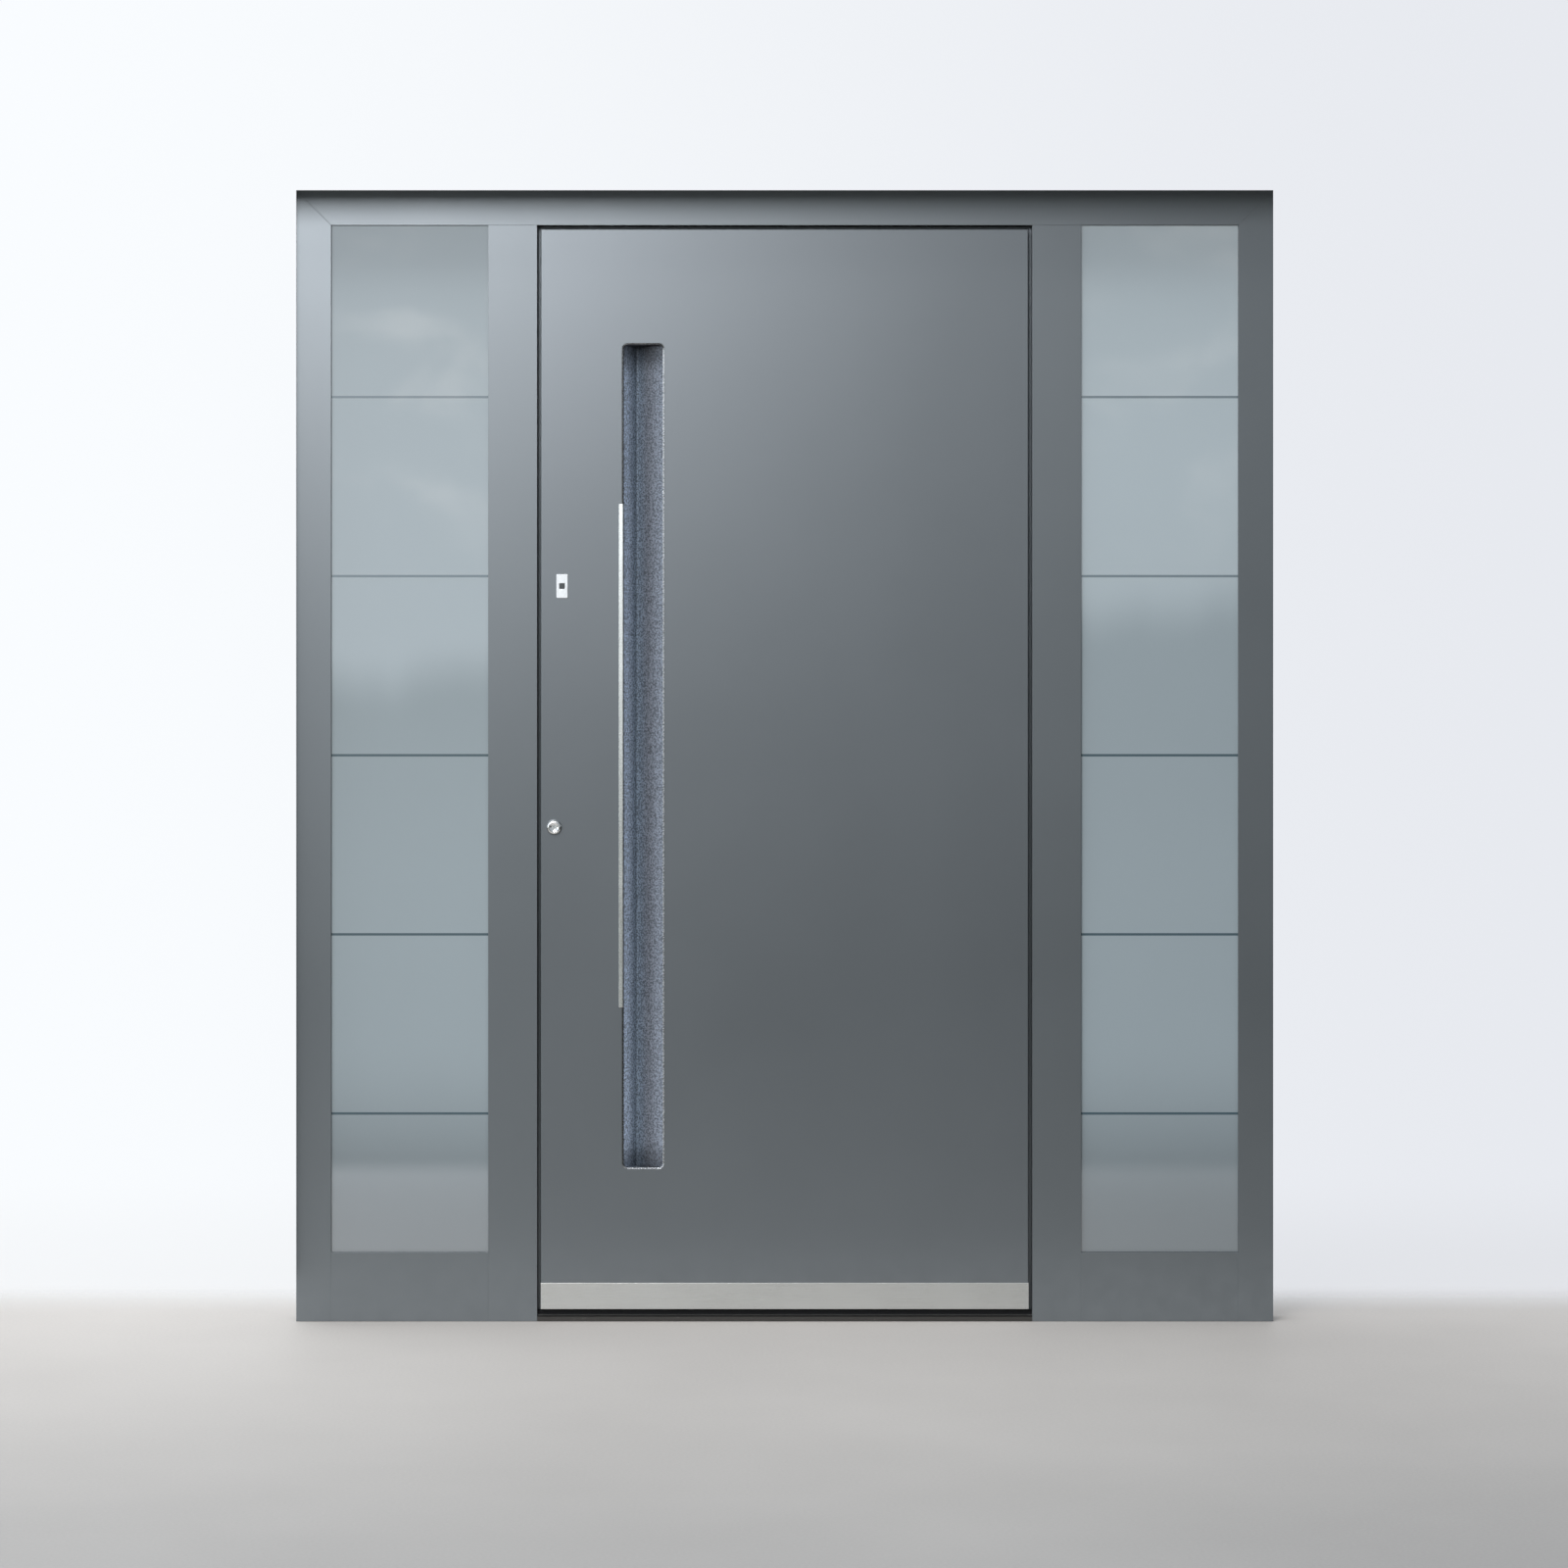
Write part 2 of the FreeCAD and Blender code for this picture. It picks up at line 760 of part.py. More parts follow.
def seal_loop(side):
    """Plan of the seal: a foot in the groove and a tapering lip that the leaf closes on."""
    near = size("stop_gasket_edge")
    far = near + size("stop_gasket_width")
    foot_near = near + size("stop_gasket_foot") + play
    foot_far = foot_near + size("groove_width") - 2 * play
    foot_end = stop_face - size("groove_depth") + play
    shoulder = (stop_face + gasket_back) / 2
    return [
        (side(near), stop_face), (side(foot_near), stop_face), (side(foot_near), foot_end),
        (side(foot_far), foot_end), (side(foot_far), stop_face), (side(far), stop_face),
        (side(far), shoulder), (side(foot_far), gasket_back), (side(foot_near), gasket_back),
        (side(near), shoulder)]


jamb_seals = [
    upright(f"stop_seal_{name}", [seal_loop(lambda u: sign * (half_door + u))],
            upstand, door_top)
    for sign, name in ((-1, "left"), (1, "right"))]
head_seal = crosswise("stop_seal_top", turned([seal_loop(lambda u: door_top + u)]),
                      -half_door, half_door)
sill_seal = crosswise("stop_seal_bottom", turned([seal_loop(lambda u: upstand - u)]),
                      -half_door, half_door)
keep(group("door_stop_gasket", [*jamb_seals, head_seal, sill_seal]))

# Leaf frame: mitred profiles with an outer shell, an inner shell and insulating strips

stile_width = size("leaf_stile_width")
shell_front = front + skin
outer_shell_back = shell_front + size("leaf_outer_shell")
lip_root = leaf_half_inner - size("rebate_lip")


def leaf_loops(outer_edge, lip_edge, inner_edge, inward):
    """Plan of a leaf profile: box shells, the inner one with the lip that closes on the stop."""
    inside = outer_edge + inward * stile_width
    outer_box = rectangle(inside, outer_edge, shell_front, outer_shell_back)
    outer_hollow = rectangle(inside - inward * wall, outer_edge + inward * wall,
                             shell_front + wall, outer_shell_back - wall)
    inner_box = [
        (inside, inner_shell_front), (lip_edge, inner_shell_front), (lip_edge, rebate_face),
        (inner_edge, rebate_face), (inner_edge, inner_shell_back), (inside, inner_shell_back)]
    inner_hollow = rectangle(inside - inward * wall, inner_edge + inward * wall,
                             inner_shell_front + wall, inner_shell_back - wall)
    return [outer_box, outer_hollow, inner_box, inner_hollow]


def leaf_strip_loops(outer_edge, inward):
    inset = size("strip_inset")
    thick = size("strip_thickness")
    inside = outer_edge + inward * stile_width
    return [
        rectangle(outer_edge + inward * (inset + thick), outer_edge + inward * inset,
                  outer_shell_back, inner_shell_front),
        rectangle(inside - inward * inset, inside - inward * (inset + thick),
                  outer_shell_back, inner_shell_front)]


lip_drop = size("rebate_lip")
leaf_strips = []
reach = stile_width + step + 5
for sign, name in ((-1, "leaf_lock_stile"), (1, "leaf_hinge_stile")):
    member = upright(name, leaf_loops(sign * leaf_half, sign * lip_root,
                                      sign * leaf_half_inner, -sign),
                     leaf_bottom_inner, leaf_top_inner)
    mitre(member, sign * leaf_half_inner, leaf_top_inner, -sign, -1, reach, "upright")
    mitre(member, sign * leaf_half_inner, leaf_bottom_inner, -sign, 1, reach, "upright")
    if sign < 0:
        bore = new_sketch(member, "XZ_Plane")
        draw_circle(bore, lock_x, cylinder_z, cylinder_bore)
        pocket_through(member, bore)
        slot = new_sketch(member, "YZ_Plane", -leaf_half_inner)
        draw_loop(slot, rectangle(bolt_line - size("faceplate_width") / 2,
                                  bolt_line + size("faceplate_width") / 2,
                                  plate_low, plate_high))
        recess = pocket_deep(member, slot, wall)
        recess.Reversed = True
    keep(member)
    member_strips = upright(name + "_strips", leaf_strip_loops(sign * leaf_half, -sign),
                            leaf_bottom + stile_width, leaf_top - stile_width)
    if sign < 0:
        strip_bore = new_sketch(member_strips, "XZ_Plane")
        draw_circle(strip_bore, lock_x, cylinder_z, cylinder_bore)
        pocket_through(member_strips, strip_bore)
    leaf_strips.append(member_strips)
for inward, name, edge, lip, inner in (
        (-1, "leaf_top_rail", leaf_top, leaf_top_inner - lip_drop, leaf_top_inner),
        (1, "leaf_bottom_rail", leaf_bottom, leaf_bottom_inner + lip_drop, leaf_bottom_inner)):
    member = crosswise(name, turned(leaf_loops(edge, lip, inner, inward)),
                       -leaf_half_inner, leaf_half_inner)
    for sign in (-1, 1):
        mitre(member, sign * leaf_half_inner, inner, -sign, inward, reach, "crosswise")
    keep(member)
    leaf_strips.append(crosswise(name + "_strips", turned(leaf_strip_loops(edge, inward)),
                                 -(leaf_half - stile_width), leaf_half - stile_width))
keep(group("leaf_thermal_strips", leaf_strips))

# Grip trough: an upright pressed channel whose steep side lies under the grip bar

trough_left = -(leaf_half - size("trough_inset"))
trough_right = trough_left + size("trough_width")
trough_low = leaf_bottom + size("trough_bottom_margin")
trough_high = leaf_top - size("trough_top_margin")
rim = size("trough_rim")
depth = size("trough_depth")
steep_run = size("trough_valley")
gentle_run = size("trough_width") - 2 * rim - steep_run


def rounded_outline(label, grow, front_y, back_y):
    """A block with the trough's front outline, grown outwards and with round corners."""
    left, right = trough_left + rim - grow, trough_right - rim + grow
    low, high = trough_low + rim - grow, trough_high - rim + grow
    body = sheet_like(label, [rectangle(left, right, low, high)], front_y, back_y)
    round_edges(body, size("trough_corner") - rim + grow,
                runs_along("y", x=(left, right), z=(low, high)))
    return body


def trough_form(label, offset):
    """The space between the trough's slopes behind its flange, with every wall moved outwards
    by the offset."""
    drop = depth - skin
    steep_shift = offset * (steep_run * steep_run + drop * drop).root() / drop
    gentle_shift = offset * (gentle_run * gentle_run + drop * drop).root() / drop
    runs = steep_run + gentle_run
    wedge_drop = drop * (runs + steep_shift + gentle_shift) / runs
    slope_top = front + skin
    left = trough_left + rim - steep_shift
    right = trough_right - rim + gentle_shift
    valley_x = left + steep_run * wedge_drop / drop
    valley_y = slope_top + wedge_drop
    wedge = upright(label + "_wedge", [[
        (left, slope_top), (right, slope_top), (valley_x, valley_y)]],
        trough_low + rim - offset, trough_high - rim + offset)
    round_edges(wedge, size("trough_valley_round") + offset,
                runs_along("z", x=(valley_x,), y=(valley_y,)))
    outline = rounded_outline(label + "_outline", offset, slope_top, valley_y)
    return common(label, outline, wedge)


hollow = trough_form("trough_hollow", as_size(0))
pressing = trough_form("trough_pressing", size("trough_wall"))
mouth_sides = (trough_left + rim, trough_right - rim)
mouth_ends = (trough_low + rim, trough_high - rim)
flange = sheet_like("trough_flange", [
    rectangle(trough_left, trough_right, trough_low, trough_high),
    rectangle(*mouth_sides, *mouth_ends)], front, front + skin)
round_edges(flange, size("trough_corner") - rim,
            runs_along("y", x=mouth_sides, z=mouth_ends))
round_edges(flange, size("trough_corner"),
            runs_along("y", x=(trough_left, trough_right), z=(trough_low, trough_high)))
bevel_edges(flange, size("rim_bevel"),
            all_of(lies_in("y", front), within("x", *mouth_sides), within("z", *mouth_ends)))
keep(fuse("grip_trough", [flange, cut("trough_walls", pressing, hollow)]))

# Leaf core and skins

leaf_box = rectangle(-leaf_half, leaf_half, leaf_bottom, leaf_top)
core_side = leaf_half - stile_width
core_block = block("core_block", -core_side, core_side, shell_front, inner_shell_back,
                   leaf_bottom + stile_width, leaf_top - stile_width)
keep(cut("leaf_core", core_block,
         trough_form("core_pocket", size("trough_wall") + size("seat_gap"))))

outer_skin = sheet_like("outer_skin_blank", [leaf_box], front, front + skin)
reader_hole = new_sketch(outer_skin, "XZ_Plane")
reader_x = -(leaf_half - size("reader_inset"))
reader_z = size("reader_height_up")
half_reader = size("reader_width") / 2 - size("reader_flange")
tall_reader = size("reader_height") / 2 - size("reader_flange")
draw_loop(reader_hole, rectangle(reader_x - half_reader, reader_x + half_reader,
                                 reader_z - tall_reader, reader_z + tall_reader))
draw_circle(reader_hole, lock_x, cylinder_z, cylinder_bore)
pocket_through(outer_skin, reader_hole)
round_edges(outer_skin, size("skin_edge_round"), any_of(
    runs_along("z", x=(-leaf_half, leaf_half), y=(front,)),
    runs_along("x", z=(leaf_top,), y=(front,))))
trough_hole = rounded_outline("trough_hole", rim + size("seat_gap"), front - 1, front + skin + 1)
keep(cut("leaf_outer_skin", outer_skin, trough_hole))

inner_skin = sheet_like("leaf_inner_skin", [
    rectangle(-leaf_half_inner, leaf_half_inner, leaf_bottom_inner, leaf_top_inner)],
    inner_shell_back, back)
inner_bore = new_sketch(inner_skin, "XZ_Plane")
draw_circle(inner_bore, lock_x, cylinder_z, cylinder_bore)
pocket_through(inner_skin, inner_bore)
keep(inner_skin)

# Kick plate and bottom seal

kick_top = leaf_bottom + size("kick_height")
kick_front = front - size("kick_thickness")
keep(crosswise("kick_plate", [[
    (kick_front, leaf_bottom), (front, leaf_bottom), (front, kick_top),
    (kick_front + size("kick_bevel"), kick_top), (kick_front, kick_top - size("kick_bevel"))]],
    -leaf_half, leaf_half))
seal_tip = size("sill_inner_height") + size("bottom_seal_gap")
seal_back = inner_shell_front + size("bottom_seal_width")
keep(crosswise("leaf_bottom_seal", [[
    (inner_shell_front, leaf_bottom_inner), ((inner_shell_front + seal_back) / 2, seal_tip),
    (seal_back, leaf_bottom_inner)]], -leaf_half, leaf_half))

# Grip bar on the steep side's rim

bar_right = trough_left + size("bar_overlap")
bar_left = bar_right - size("bar_width")
bar_low = trough_low + size("bar_bottom_margin")
bar_top = trough_high - size("bar_top_margin")
bar_front = front - size("bar_thickness")
grip_bar = sheet_like("grip_bar", [rectangle(bar_left, bar_right, bar_low, bar_top)],
                      bar_front, front)
round_edges(grip_bar, size("bar_round"),
            runs_along("y", x=(bar_left, bar_right), z=(bar_low, bar_top)))
bevel_edges(grip_bar, size("bar_bevel"), lies_in("y", bar_front))
keep(grip_bar)

# Fingerprint reader

reader_front = front - size("reader_proud")
reader_left = reader_x - size("reader_width") / 2
reader_right = reader_x + size("reader_width") / 2
reader_low = reader_z - size("reader_height") / 2
reader_high = reader_z + size("reader_height") / 2
gap = size("seat_gap")
half_sensor = size("sensor_side") / 2
sensor_play = size("sensor_play")
sensor_floor = front + skin / 2
reader_plate = sheet_like("reader_plate", [
    rectangle(reader_left, reader_right, reader_low, reader_high)], reader_front, front)
round_edges(reader_plate, size("reader_round"), runs_along(
    "y", x=(reader_left, reader_right), z=(reader_low, reader_high)))
bevel_edges(reader_plate, size("reader_bevel"), lies_in("y", reader_front))
reader_back = new_sketch(reader_plate, "XZ_Plane", -(front + skin))
draw_loop(reader_back, rectangle(
    reader_x - half_reader + gap, reader_x + half_reader - gap,
    reader_z - tall_reader + gap, reader_z + tall_reader - gap))
pad(reader_plate, reader_back, skin)
window = new_sketch(reader_plate, "XZ_Plane", -sensor_floor)
draw_loop(window, rectangle(reader_x - half_sensor, reader_x + half_sensor,
                            reader_z - half_sensor, reader_z + half_sensor))
sensor_pocket = pocket_deep(reader_plate, window, size("reader_proud") + skin)
sensor_pocket.Reversed = True
keep(reader_plate)
keep(block("reader_sensor",
           reader_x - half_sensor + sensor_play, reader_x + half_sensor - sensor_play,
           reader_front + size("sensor_recess"), sensor_floor,
           reader_z - half_sensor + sensor_play, reader_z + half_sensor - sensor_play))

# Lock: outside rosette, cylinder, inside rosette and lever


def turned_piece(label, profile, x, z):
    """A piece revolved about an axis along Y: the profile's corners are (radius, y)."""
    body = new_body(label)
    sketch = new_sketch(body, "XY_Plane")
    draw_loop(sketch, profile)
    feature = body.newObject("PartDesign::Revolution", label + "_turn")
    feature.Profile = sketch
    feature.ReferenceAxis = (sketch, ["V_Axis"])
    feature.Angle = 360
    place(body, x, 0, z)
    return body


ring_inner = size("plug_radius") + size("plug_clearance")
rosette_front = front - size("rosette_height")
roses = [turned_piece("outside_rosette", [
    (ring_inner, rosette_front), (size("rosette_top_radius"), rosette_front),
    (size("rosette_radius"), front - size("rosette_edge")), (size("rosette_radius"), front),
    (ring_inner, front)], lock_x, cylinder_z)]

plug_front = rosette_front + size("plug_recess")
rose_back = back + size("rose_thickness")
cylinder_back = rose_back + size("plug_recess")
dish_floor = plug_front + size("dish_depth")
cylinder = turned_piece("cylinder_blank", [
    (0, dish_floor), (size("dish_radius"), dish_floor),
    (size("plug_radius"), plug_front), (size("plug_radius"), front),
    (size("cylinder_radius"), front), (size("cylinder_radius"), cylinder_back),
    (0, cylinder_back)], lock_x, cylinder_z)
half_slot = size("key_slot_width") / 2
key_slot = block("key_slot", lock_x - half_slot, lock_x + half_slot,
                 plug_front - 1, dish_floor + size("key_slot_depth"),
                 cylinder_z - size("key_slot_height") / 2,
                 cylinder_z + size("key_slot_height") / 2)
keep(cut("lock_cylinder", cylinder, key_slot))

rose = size("rose_radius")
for label, inner_radius, height in (
        ("inside_rosette", cylinder_bore, cylinder_z), ("handle_rose", 0, handle_z)):
    roses.append(turned_piece(label, [
        (inner_radius, back), (rose, back), (rose, rose_back), (inner_radius, rose_back)],
        lock_x, height))
keep(group("lock_roses", roses))

lever = new_body("inside_lever")
lever_path = new_sketch(lever, "XY_Plane", handle_z)
lever_y = rose_back + size("lever_stand_off")
path_spots = [(lock_x, rose_back), (lock_x, lever_y), (lock_x + size("lever_length"), lever_y)]
for start, end in zip(path_spots, path_spots[1:]):
    line = lever_path.addGeometry(Part.LineSegment(
        FreeCAD.Vector(start[0].number, start[1].number, 0),
        FreeCAD.Vector(end[0].number, end[1].number, 0)))
    for spot, corner in ((1, start), (2, end)):
        for kind, length in zip(("DistanceX", "DistanceY"), corner):
            rule = Sketcher.Constraint(kind, -1, 1, line, spot, length.number)
            number = lever_path.addConstraint(rule)
            lever_path.setExpression(f"Constraints[{number}]", length.formula)
lever_section = new_sketch(lever, "XZ_Plane", -rose_back)
draw_circle(lever_section, lock_x, handle_z, size("lever_radius"))
doc.recompute()
lever_pipe = lever.newObject("PartDesign::AdditivePipe", "lever_pipe")
lever_pipe.Profile = lever_section
lever_pipe.Spine = (lever_path, ["Edge1", "Edge2"])
lever_pipe.Transition = "Right corner"
bevel_edges(lever, size("lever_bevel"), lies_in("x", lock_x + size("lever_length")))
keep(lever)

# Lock faceplate with its bolt ends, and the strike plate on the mullion

edge_line = -leaf_half_inner
half_plate = size("faceplate_width") / 2 - size("faceplate_play")
half_case = size("case_width") / 2
plate_back = edge_line + size("faceplate_thickness")
case_back = -(leaf_half - stile_width) - wall - size("case_back_gap")
pieces = [block("faceplate_blank", edge_line, plate_back,
                bolt_line - half_plate, bolt_line + half_plate,
                plate_low + size("faceplate_play"), plate_high - size("faceplate_play"))]
first_bolt, *main_bolts, last_bolt = bolt_heights
for name, lowest, highest in (
        ("low", first_bolt - size("end_case_margin"), first_bolt + size("end_case_margin")),
        ("main", cylinder_z - size("case_margin"), handle_z + size("case_margin")),
        ("high", last_bolt - size("end_case_margin"), last_bolt + size("end_case_margin"))):
    pieces.append(block(f"{name}_case", plate_back, case_back, bolt_line - half_case,
                        bolt_line + half_case, lowest, highest))
bolt_front = edge_line + gap
windows = [rod("cylinder_passage", lock_x, front, cylinder_z, cylinder_bore, back - front, "y")]
bolts = []
for number, height in enumerate(bolt_heights, 1):
    low = height - half_bolt_height
    high = height + half_bolt_height
    windows.append(block(f"bolt_window_{number}", edge_line - 1,
                         bolt_front + size("bolt_depth") + gap,
                         bolt_line - half_bolt, bolt_line + half_bolt, low, high))
    bolts.append(block(f"bolt_end_{number}", bolt_front, bolt_front + size("bolt_depth"),
                       bolt_line - half_bolt + gap, bolt_line + half_bolt - gap,
                       low + gap, high - gap))
lock_pieces = fuse("lock_pieces", pieces)
keep(cut("lock_faceplate", lock_pieces, fuse("lock_windows", windows)))
keep(group("lock_bolts", bolts))

strike_face = -(half_door + step)
strike_back = strike_face + size("strike_thickness")
strike = block("strike_blank", strike_face, strike_back,
               bolt_line - size("strike_width") / 2, bolt_line + size("strike_width") / 2,
               cylinder_z - size("strike_margin"), handle_z + size("strike_margin"))
strike_windows = [
    block(f"strike_window_{number}", strike_face - 1, strike_back + 1,
          bolt_line - half_bolt, bolt_line + half_bolt,
          height - half_bolt_height, height + half_bolt_height)
    for number, height in enumerate(bolt_heights[1:3], 1)]
keep(cut("strike_plate", strike, fuse("strike_windows", strike_windows)))

# Hinges: the frame's part carries the pin and two knuckles, the leaf's part turns between them

hinge_x = (leaf_half_inner + half_door + step) / 2
hinge_y = back + size("hinge_setback")
knuckle = size("knuckle_height")
hinge_height = 3 * knuckle + 2 * size("knuckle_gap")
plate_outside = back + size("hinge_plate_thickness")
neck_front = plate_outside - size("hinge_plate_thickness") / 2
neck_back = neck_front + size("hinge_neck_thickness")
frame_edge = half_door + step + size("hinge_plate_play")
leaf_edge = leaf_half_inner - size("hinge_plate_play")
neck_reach = size("knuckle_radius")
lowest_hinge = leaf_bottom_inner + size("hinge_bottom_margin")
highest_hinge = leaf_top_inner - size("hinge_top_margin") - hinge_height
for number, name in enumerate(HINGES):
    bottom = lowest_hinge + number * (highest_hinge - lowest_hinge) / (len(HINGES) - 1)
    leaf_low = bottom + knuckle + size("knuckle_gap")
    leaf_high = leaf_low + knuckle
    top_low = leaf_high + size("knuckle_gap")
    top_high = top_low + knuckle
    pieces = [
        rod(f"{name}_pin", hinge_x, hinge_y, bottom, size("pin_radius"), hinge_height),
        block(f"{name}_frame_plate", frame_edge, frame_edge + size("hinge_plate_width"),
              back, plate_outside, bottom, top_high)]
    for part_name, low in (("lower", bottom), ("upper", top_low)):
        pieces.append(rod(f"{name}_{part_name}_knuckle", hinge_x, hinge_y, low,
                          size("knuckle_radius"), knuckle))
        pieces.append(block(f"{name}_{part_name}_neck", hinge_x, frame_edge + neck_reach,
                            neck_front, neck_back, low, low + knuckle))
    keep(fuse(f"hinge_{name}_frame_part", pieces))
    leaf_pieces = [
        rod(f"{name}_leaf_knuckle", hinge_x, hinge_y, leaf_low, size("knuckle_radius"), knuckle),
        block(f"{name}_leaf_neck", leaf_edge - neck_reach, hinge_x, neck_front, neck_back,
              leaf_low, leaf_high),
        block(f"{name}_leaf_plate", leaf_edge - size("hinge_plate_width"), leaf_edge,
              back, plate_outside, bottom, top_high)]
    bore = rod(f"{name}_leaf_bore", hinge_x, hinge_y, leaf_low - 1,
               size("pin_radius") + size("pin_clearance"), knuckle + 2)
    keep(cut(f"hinge_{name}_leaf_part", fuse(f"{name}_leaf_solid", leaf_pieces), bore))

# Rebuild, test and write each sub-part

doc.recompute()
for item in doc.Objects:
    if "Invalid" in item.State or "Error" in item.State:
        raise RuntimeError(f"{item.Label} failed: {item.State}")
os.makedirs("parts", exist_ok=True)
for node in nodes:
    if node.Shape.isNull() or not node.Shape.isValid():
        raise RuntimeError(f"{node.Label} has no valid shape")
    node.Shape.exportStep(f"parts/{node.Label}.step")
print(f"{len(nodes)} sub-parts written")
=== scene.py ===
"""Looks of the entrance door with two frosted sidelights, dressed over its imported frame.

Metres, the same frame as the solids: the outside face looks along -Y, the house lies towards
+Y, Z runs up. Every finish is worked out from Object coordinates.
"""
import json
import math

import bmesh
import bpy
import numpy as np
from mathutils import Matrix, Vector


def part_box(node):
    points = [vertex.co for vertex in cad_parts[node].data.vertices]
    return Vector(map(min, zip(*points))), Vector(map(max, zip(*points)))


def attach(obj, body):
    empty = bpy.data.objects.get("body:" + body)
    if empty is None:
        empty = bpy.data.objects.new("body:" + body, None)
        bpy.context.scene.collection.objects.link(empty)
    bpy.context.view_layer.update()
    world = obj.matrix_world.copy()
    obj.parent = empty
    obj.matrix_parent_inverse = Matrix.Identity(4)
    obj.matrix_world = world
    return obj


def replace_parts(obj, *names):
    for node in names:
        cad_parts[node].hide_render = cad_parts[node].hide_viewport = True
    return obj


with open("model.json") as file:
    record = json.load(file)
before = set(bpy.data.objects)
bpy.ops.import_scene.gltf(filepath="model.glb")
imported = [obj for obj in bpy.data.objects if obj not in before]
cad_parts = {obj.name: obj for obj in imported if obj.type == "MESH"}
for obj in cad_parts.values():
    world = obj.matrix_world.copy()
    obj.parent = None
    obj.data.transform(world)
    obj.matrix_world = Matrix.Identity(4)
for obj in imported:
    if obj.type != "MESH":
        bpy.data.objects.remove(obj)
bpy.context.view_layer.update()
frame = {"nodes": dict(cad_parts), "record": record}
nodes = frame["nodes"]

MM = 0.001

# Camera: level, straight in front of the door
PHOTO_SIDE = 1600
PIXELS_PER_METRE = 491.1
EYE_HEIGHT = 1.38
EYE_DISTANCE = 9.0
CENTRE_COLUMN = 800.71
FLOOR_ROW = 1348.2
SENSOR = 36.0

# Grip trough: its valley from its steep edge, the depth of its bevelled rim, its grain
TROUGH_VALLEY = 29.6 * MM
TROUGH_RIM_DEPTH = 2.8 * MM
GRAIN_SCALE = 290.0

# Frosted glass
STRIPES = 5
STRIPE_TOP = 1.9206
STRIPE_PITCH = 0.3724
STRIPE_HEIGHT = 0.0052


class Wire:
    """A socket that carries a number; arithmetic on it adds the Math nodes."""

    def __init__(self, works, socket):
        self.works = works
        self.socket = socket

    def math(self, operation, *others):
        return self.works.add("ShaderNodeMath", {"operation": operation},
                              dict(enumerate((self, *others))))

    def __add__(self, other):
        return self.math("ADD", other)

    __radd__ = __add__

    def __mul__(self, other):
        return self.math("MULTIPLY", other)

    __rmul__ = __mul__

    def __sub__(self, other):
        return self.math("SUBTRACT", other)

    def __rsub__(self, other):
        return (self * -1) + other

    def __truediv__(self, other):
        return self.math("DIVIDE", other)

    def __abs__(self):
        return self.math("ABSOLUTE")

    def between(self, low, high):
        """0 below low, 1 above high, and a smooth rise between them."""
        return self.works.add(
            "ShaderNodeMapRange", {"interpolation_type": "SMOOTHSTEP"},
            {"Value": self, "From Min": low, "From Max": high, "To Min": 0.0, "To Max": 1.0})


class Works:
    """The nodes of one finish."""

    def __init__(self, tree):
        self.tree = tree
        tree.nodes.clear()

    def add(self, kind, settings=None, inputs=None, out=0):
        """A node with its settings, then its sockets' values or links; gives one output."""
        node = self.tree.nodes.new(kind)
        for name, value in (settings or {}).items():
            setattr(node, name, value)
        for name, value in (inputs or {}).items():
            if isinstance(value, Wire):
                self.tree.links.new(value.socket, node.inputs[name])
            else:
                node.inputs[name].default_value = value
        return Wire(self, node.outputs[out] if node.outputs else None)

    def out(self, wire, output):
        """The same node's other output."""
        return Wire(self, wire.socket.node.outputs[output])

    def place(self):
        return self.add("ShaderNodeTexCoord", out="Object")

    def split(self, vector):
        first = self.add("ShaderNodeSeparateXYZ", {}, {"Vector": vector})
        return first, self.out(first, 1), self.out(first, 2)

    def stretched(self, vector, scale):
        return self.add("ShaderNodeMapping", {}, {"Vector": vector, "Scale": scale})

    def noise(self, vector, scale, detail=2.0, roughness=0.5, distortion=0.0):
        return self.add("ShaderNodeTexNoise", {}, {
            "Vector": vector, "Scale": scale, "Detail": detail, "Roughness": roughness,
            "Distortion": distortion})

    def blend(self, share, first, second):
        """A colour between the first and the second by the share."""
        return self.add("ShaderNodeMix", {"data_type": "RGBA"}, {
            "Factor": share, 6: first, 7: second}, out=2)

    def shade(self, colour, factor):
        """The colour times a number that varies over the surface."""
        return self.add("ShaderNodeVectorMath", {"operation": "SCALE"},
                        {0: colour, "Scale": factor})

    def bump(self, height, distance, strength=1.0, normal=None):
        inputs = {"Height": height, "Distance": distance, "Strength": strength}
        if normal is not None:
            inputs["Normal"] = normal
        return self.add("ShaderNodeBump", {}, inputs)

    def soft_edge(self, radius):
        """Surface direction with every sharp edge rounded to the radius."""
        return self.add("ShaderNodeBevel", {"samples": 6}, {"Radius": radius})


def finish(name, build):
    """A material whose Principled sockets the build function gives as a map."""
    material = bpy.data.materials.new(name)
    material.use_nodes = True
    works = Works(material.node_tree)
    surface = works.add("ShaderNodeBsdfPrincipled", {}, build(works))
    works.add("ShaderNodeOutputMaterial", {}, {"Surface": surface})
    return material


def rgb(red, green, blue):
    return (red, green, blue, 1.0)


# Finishes

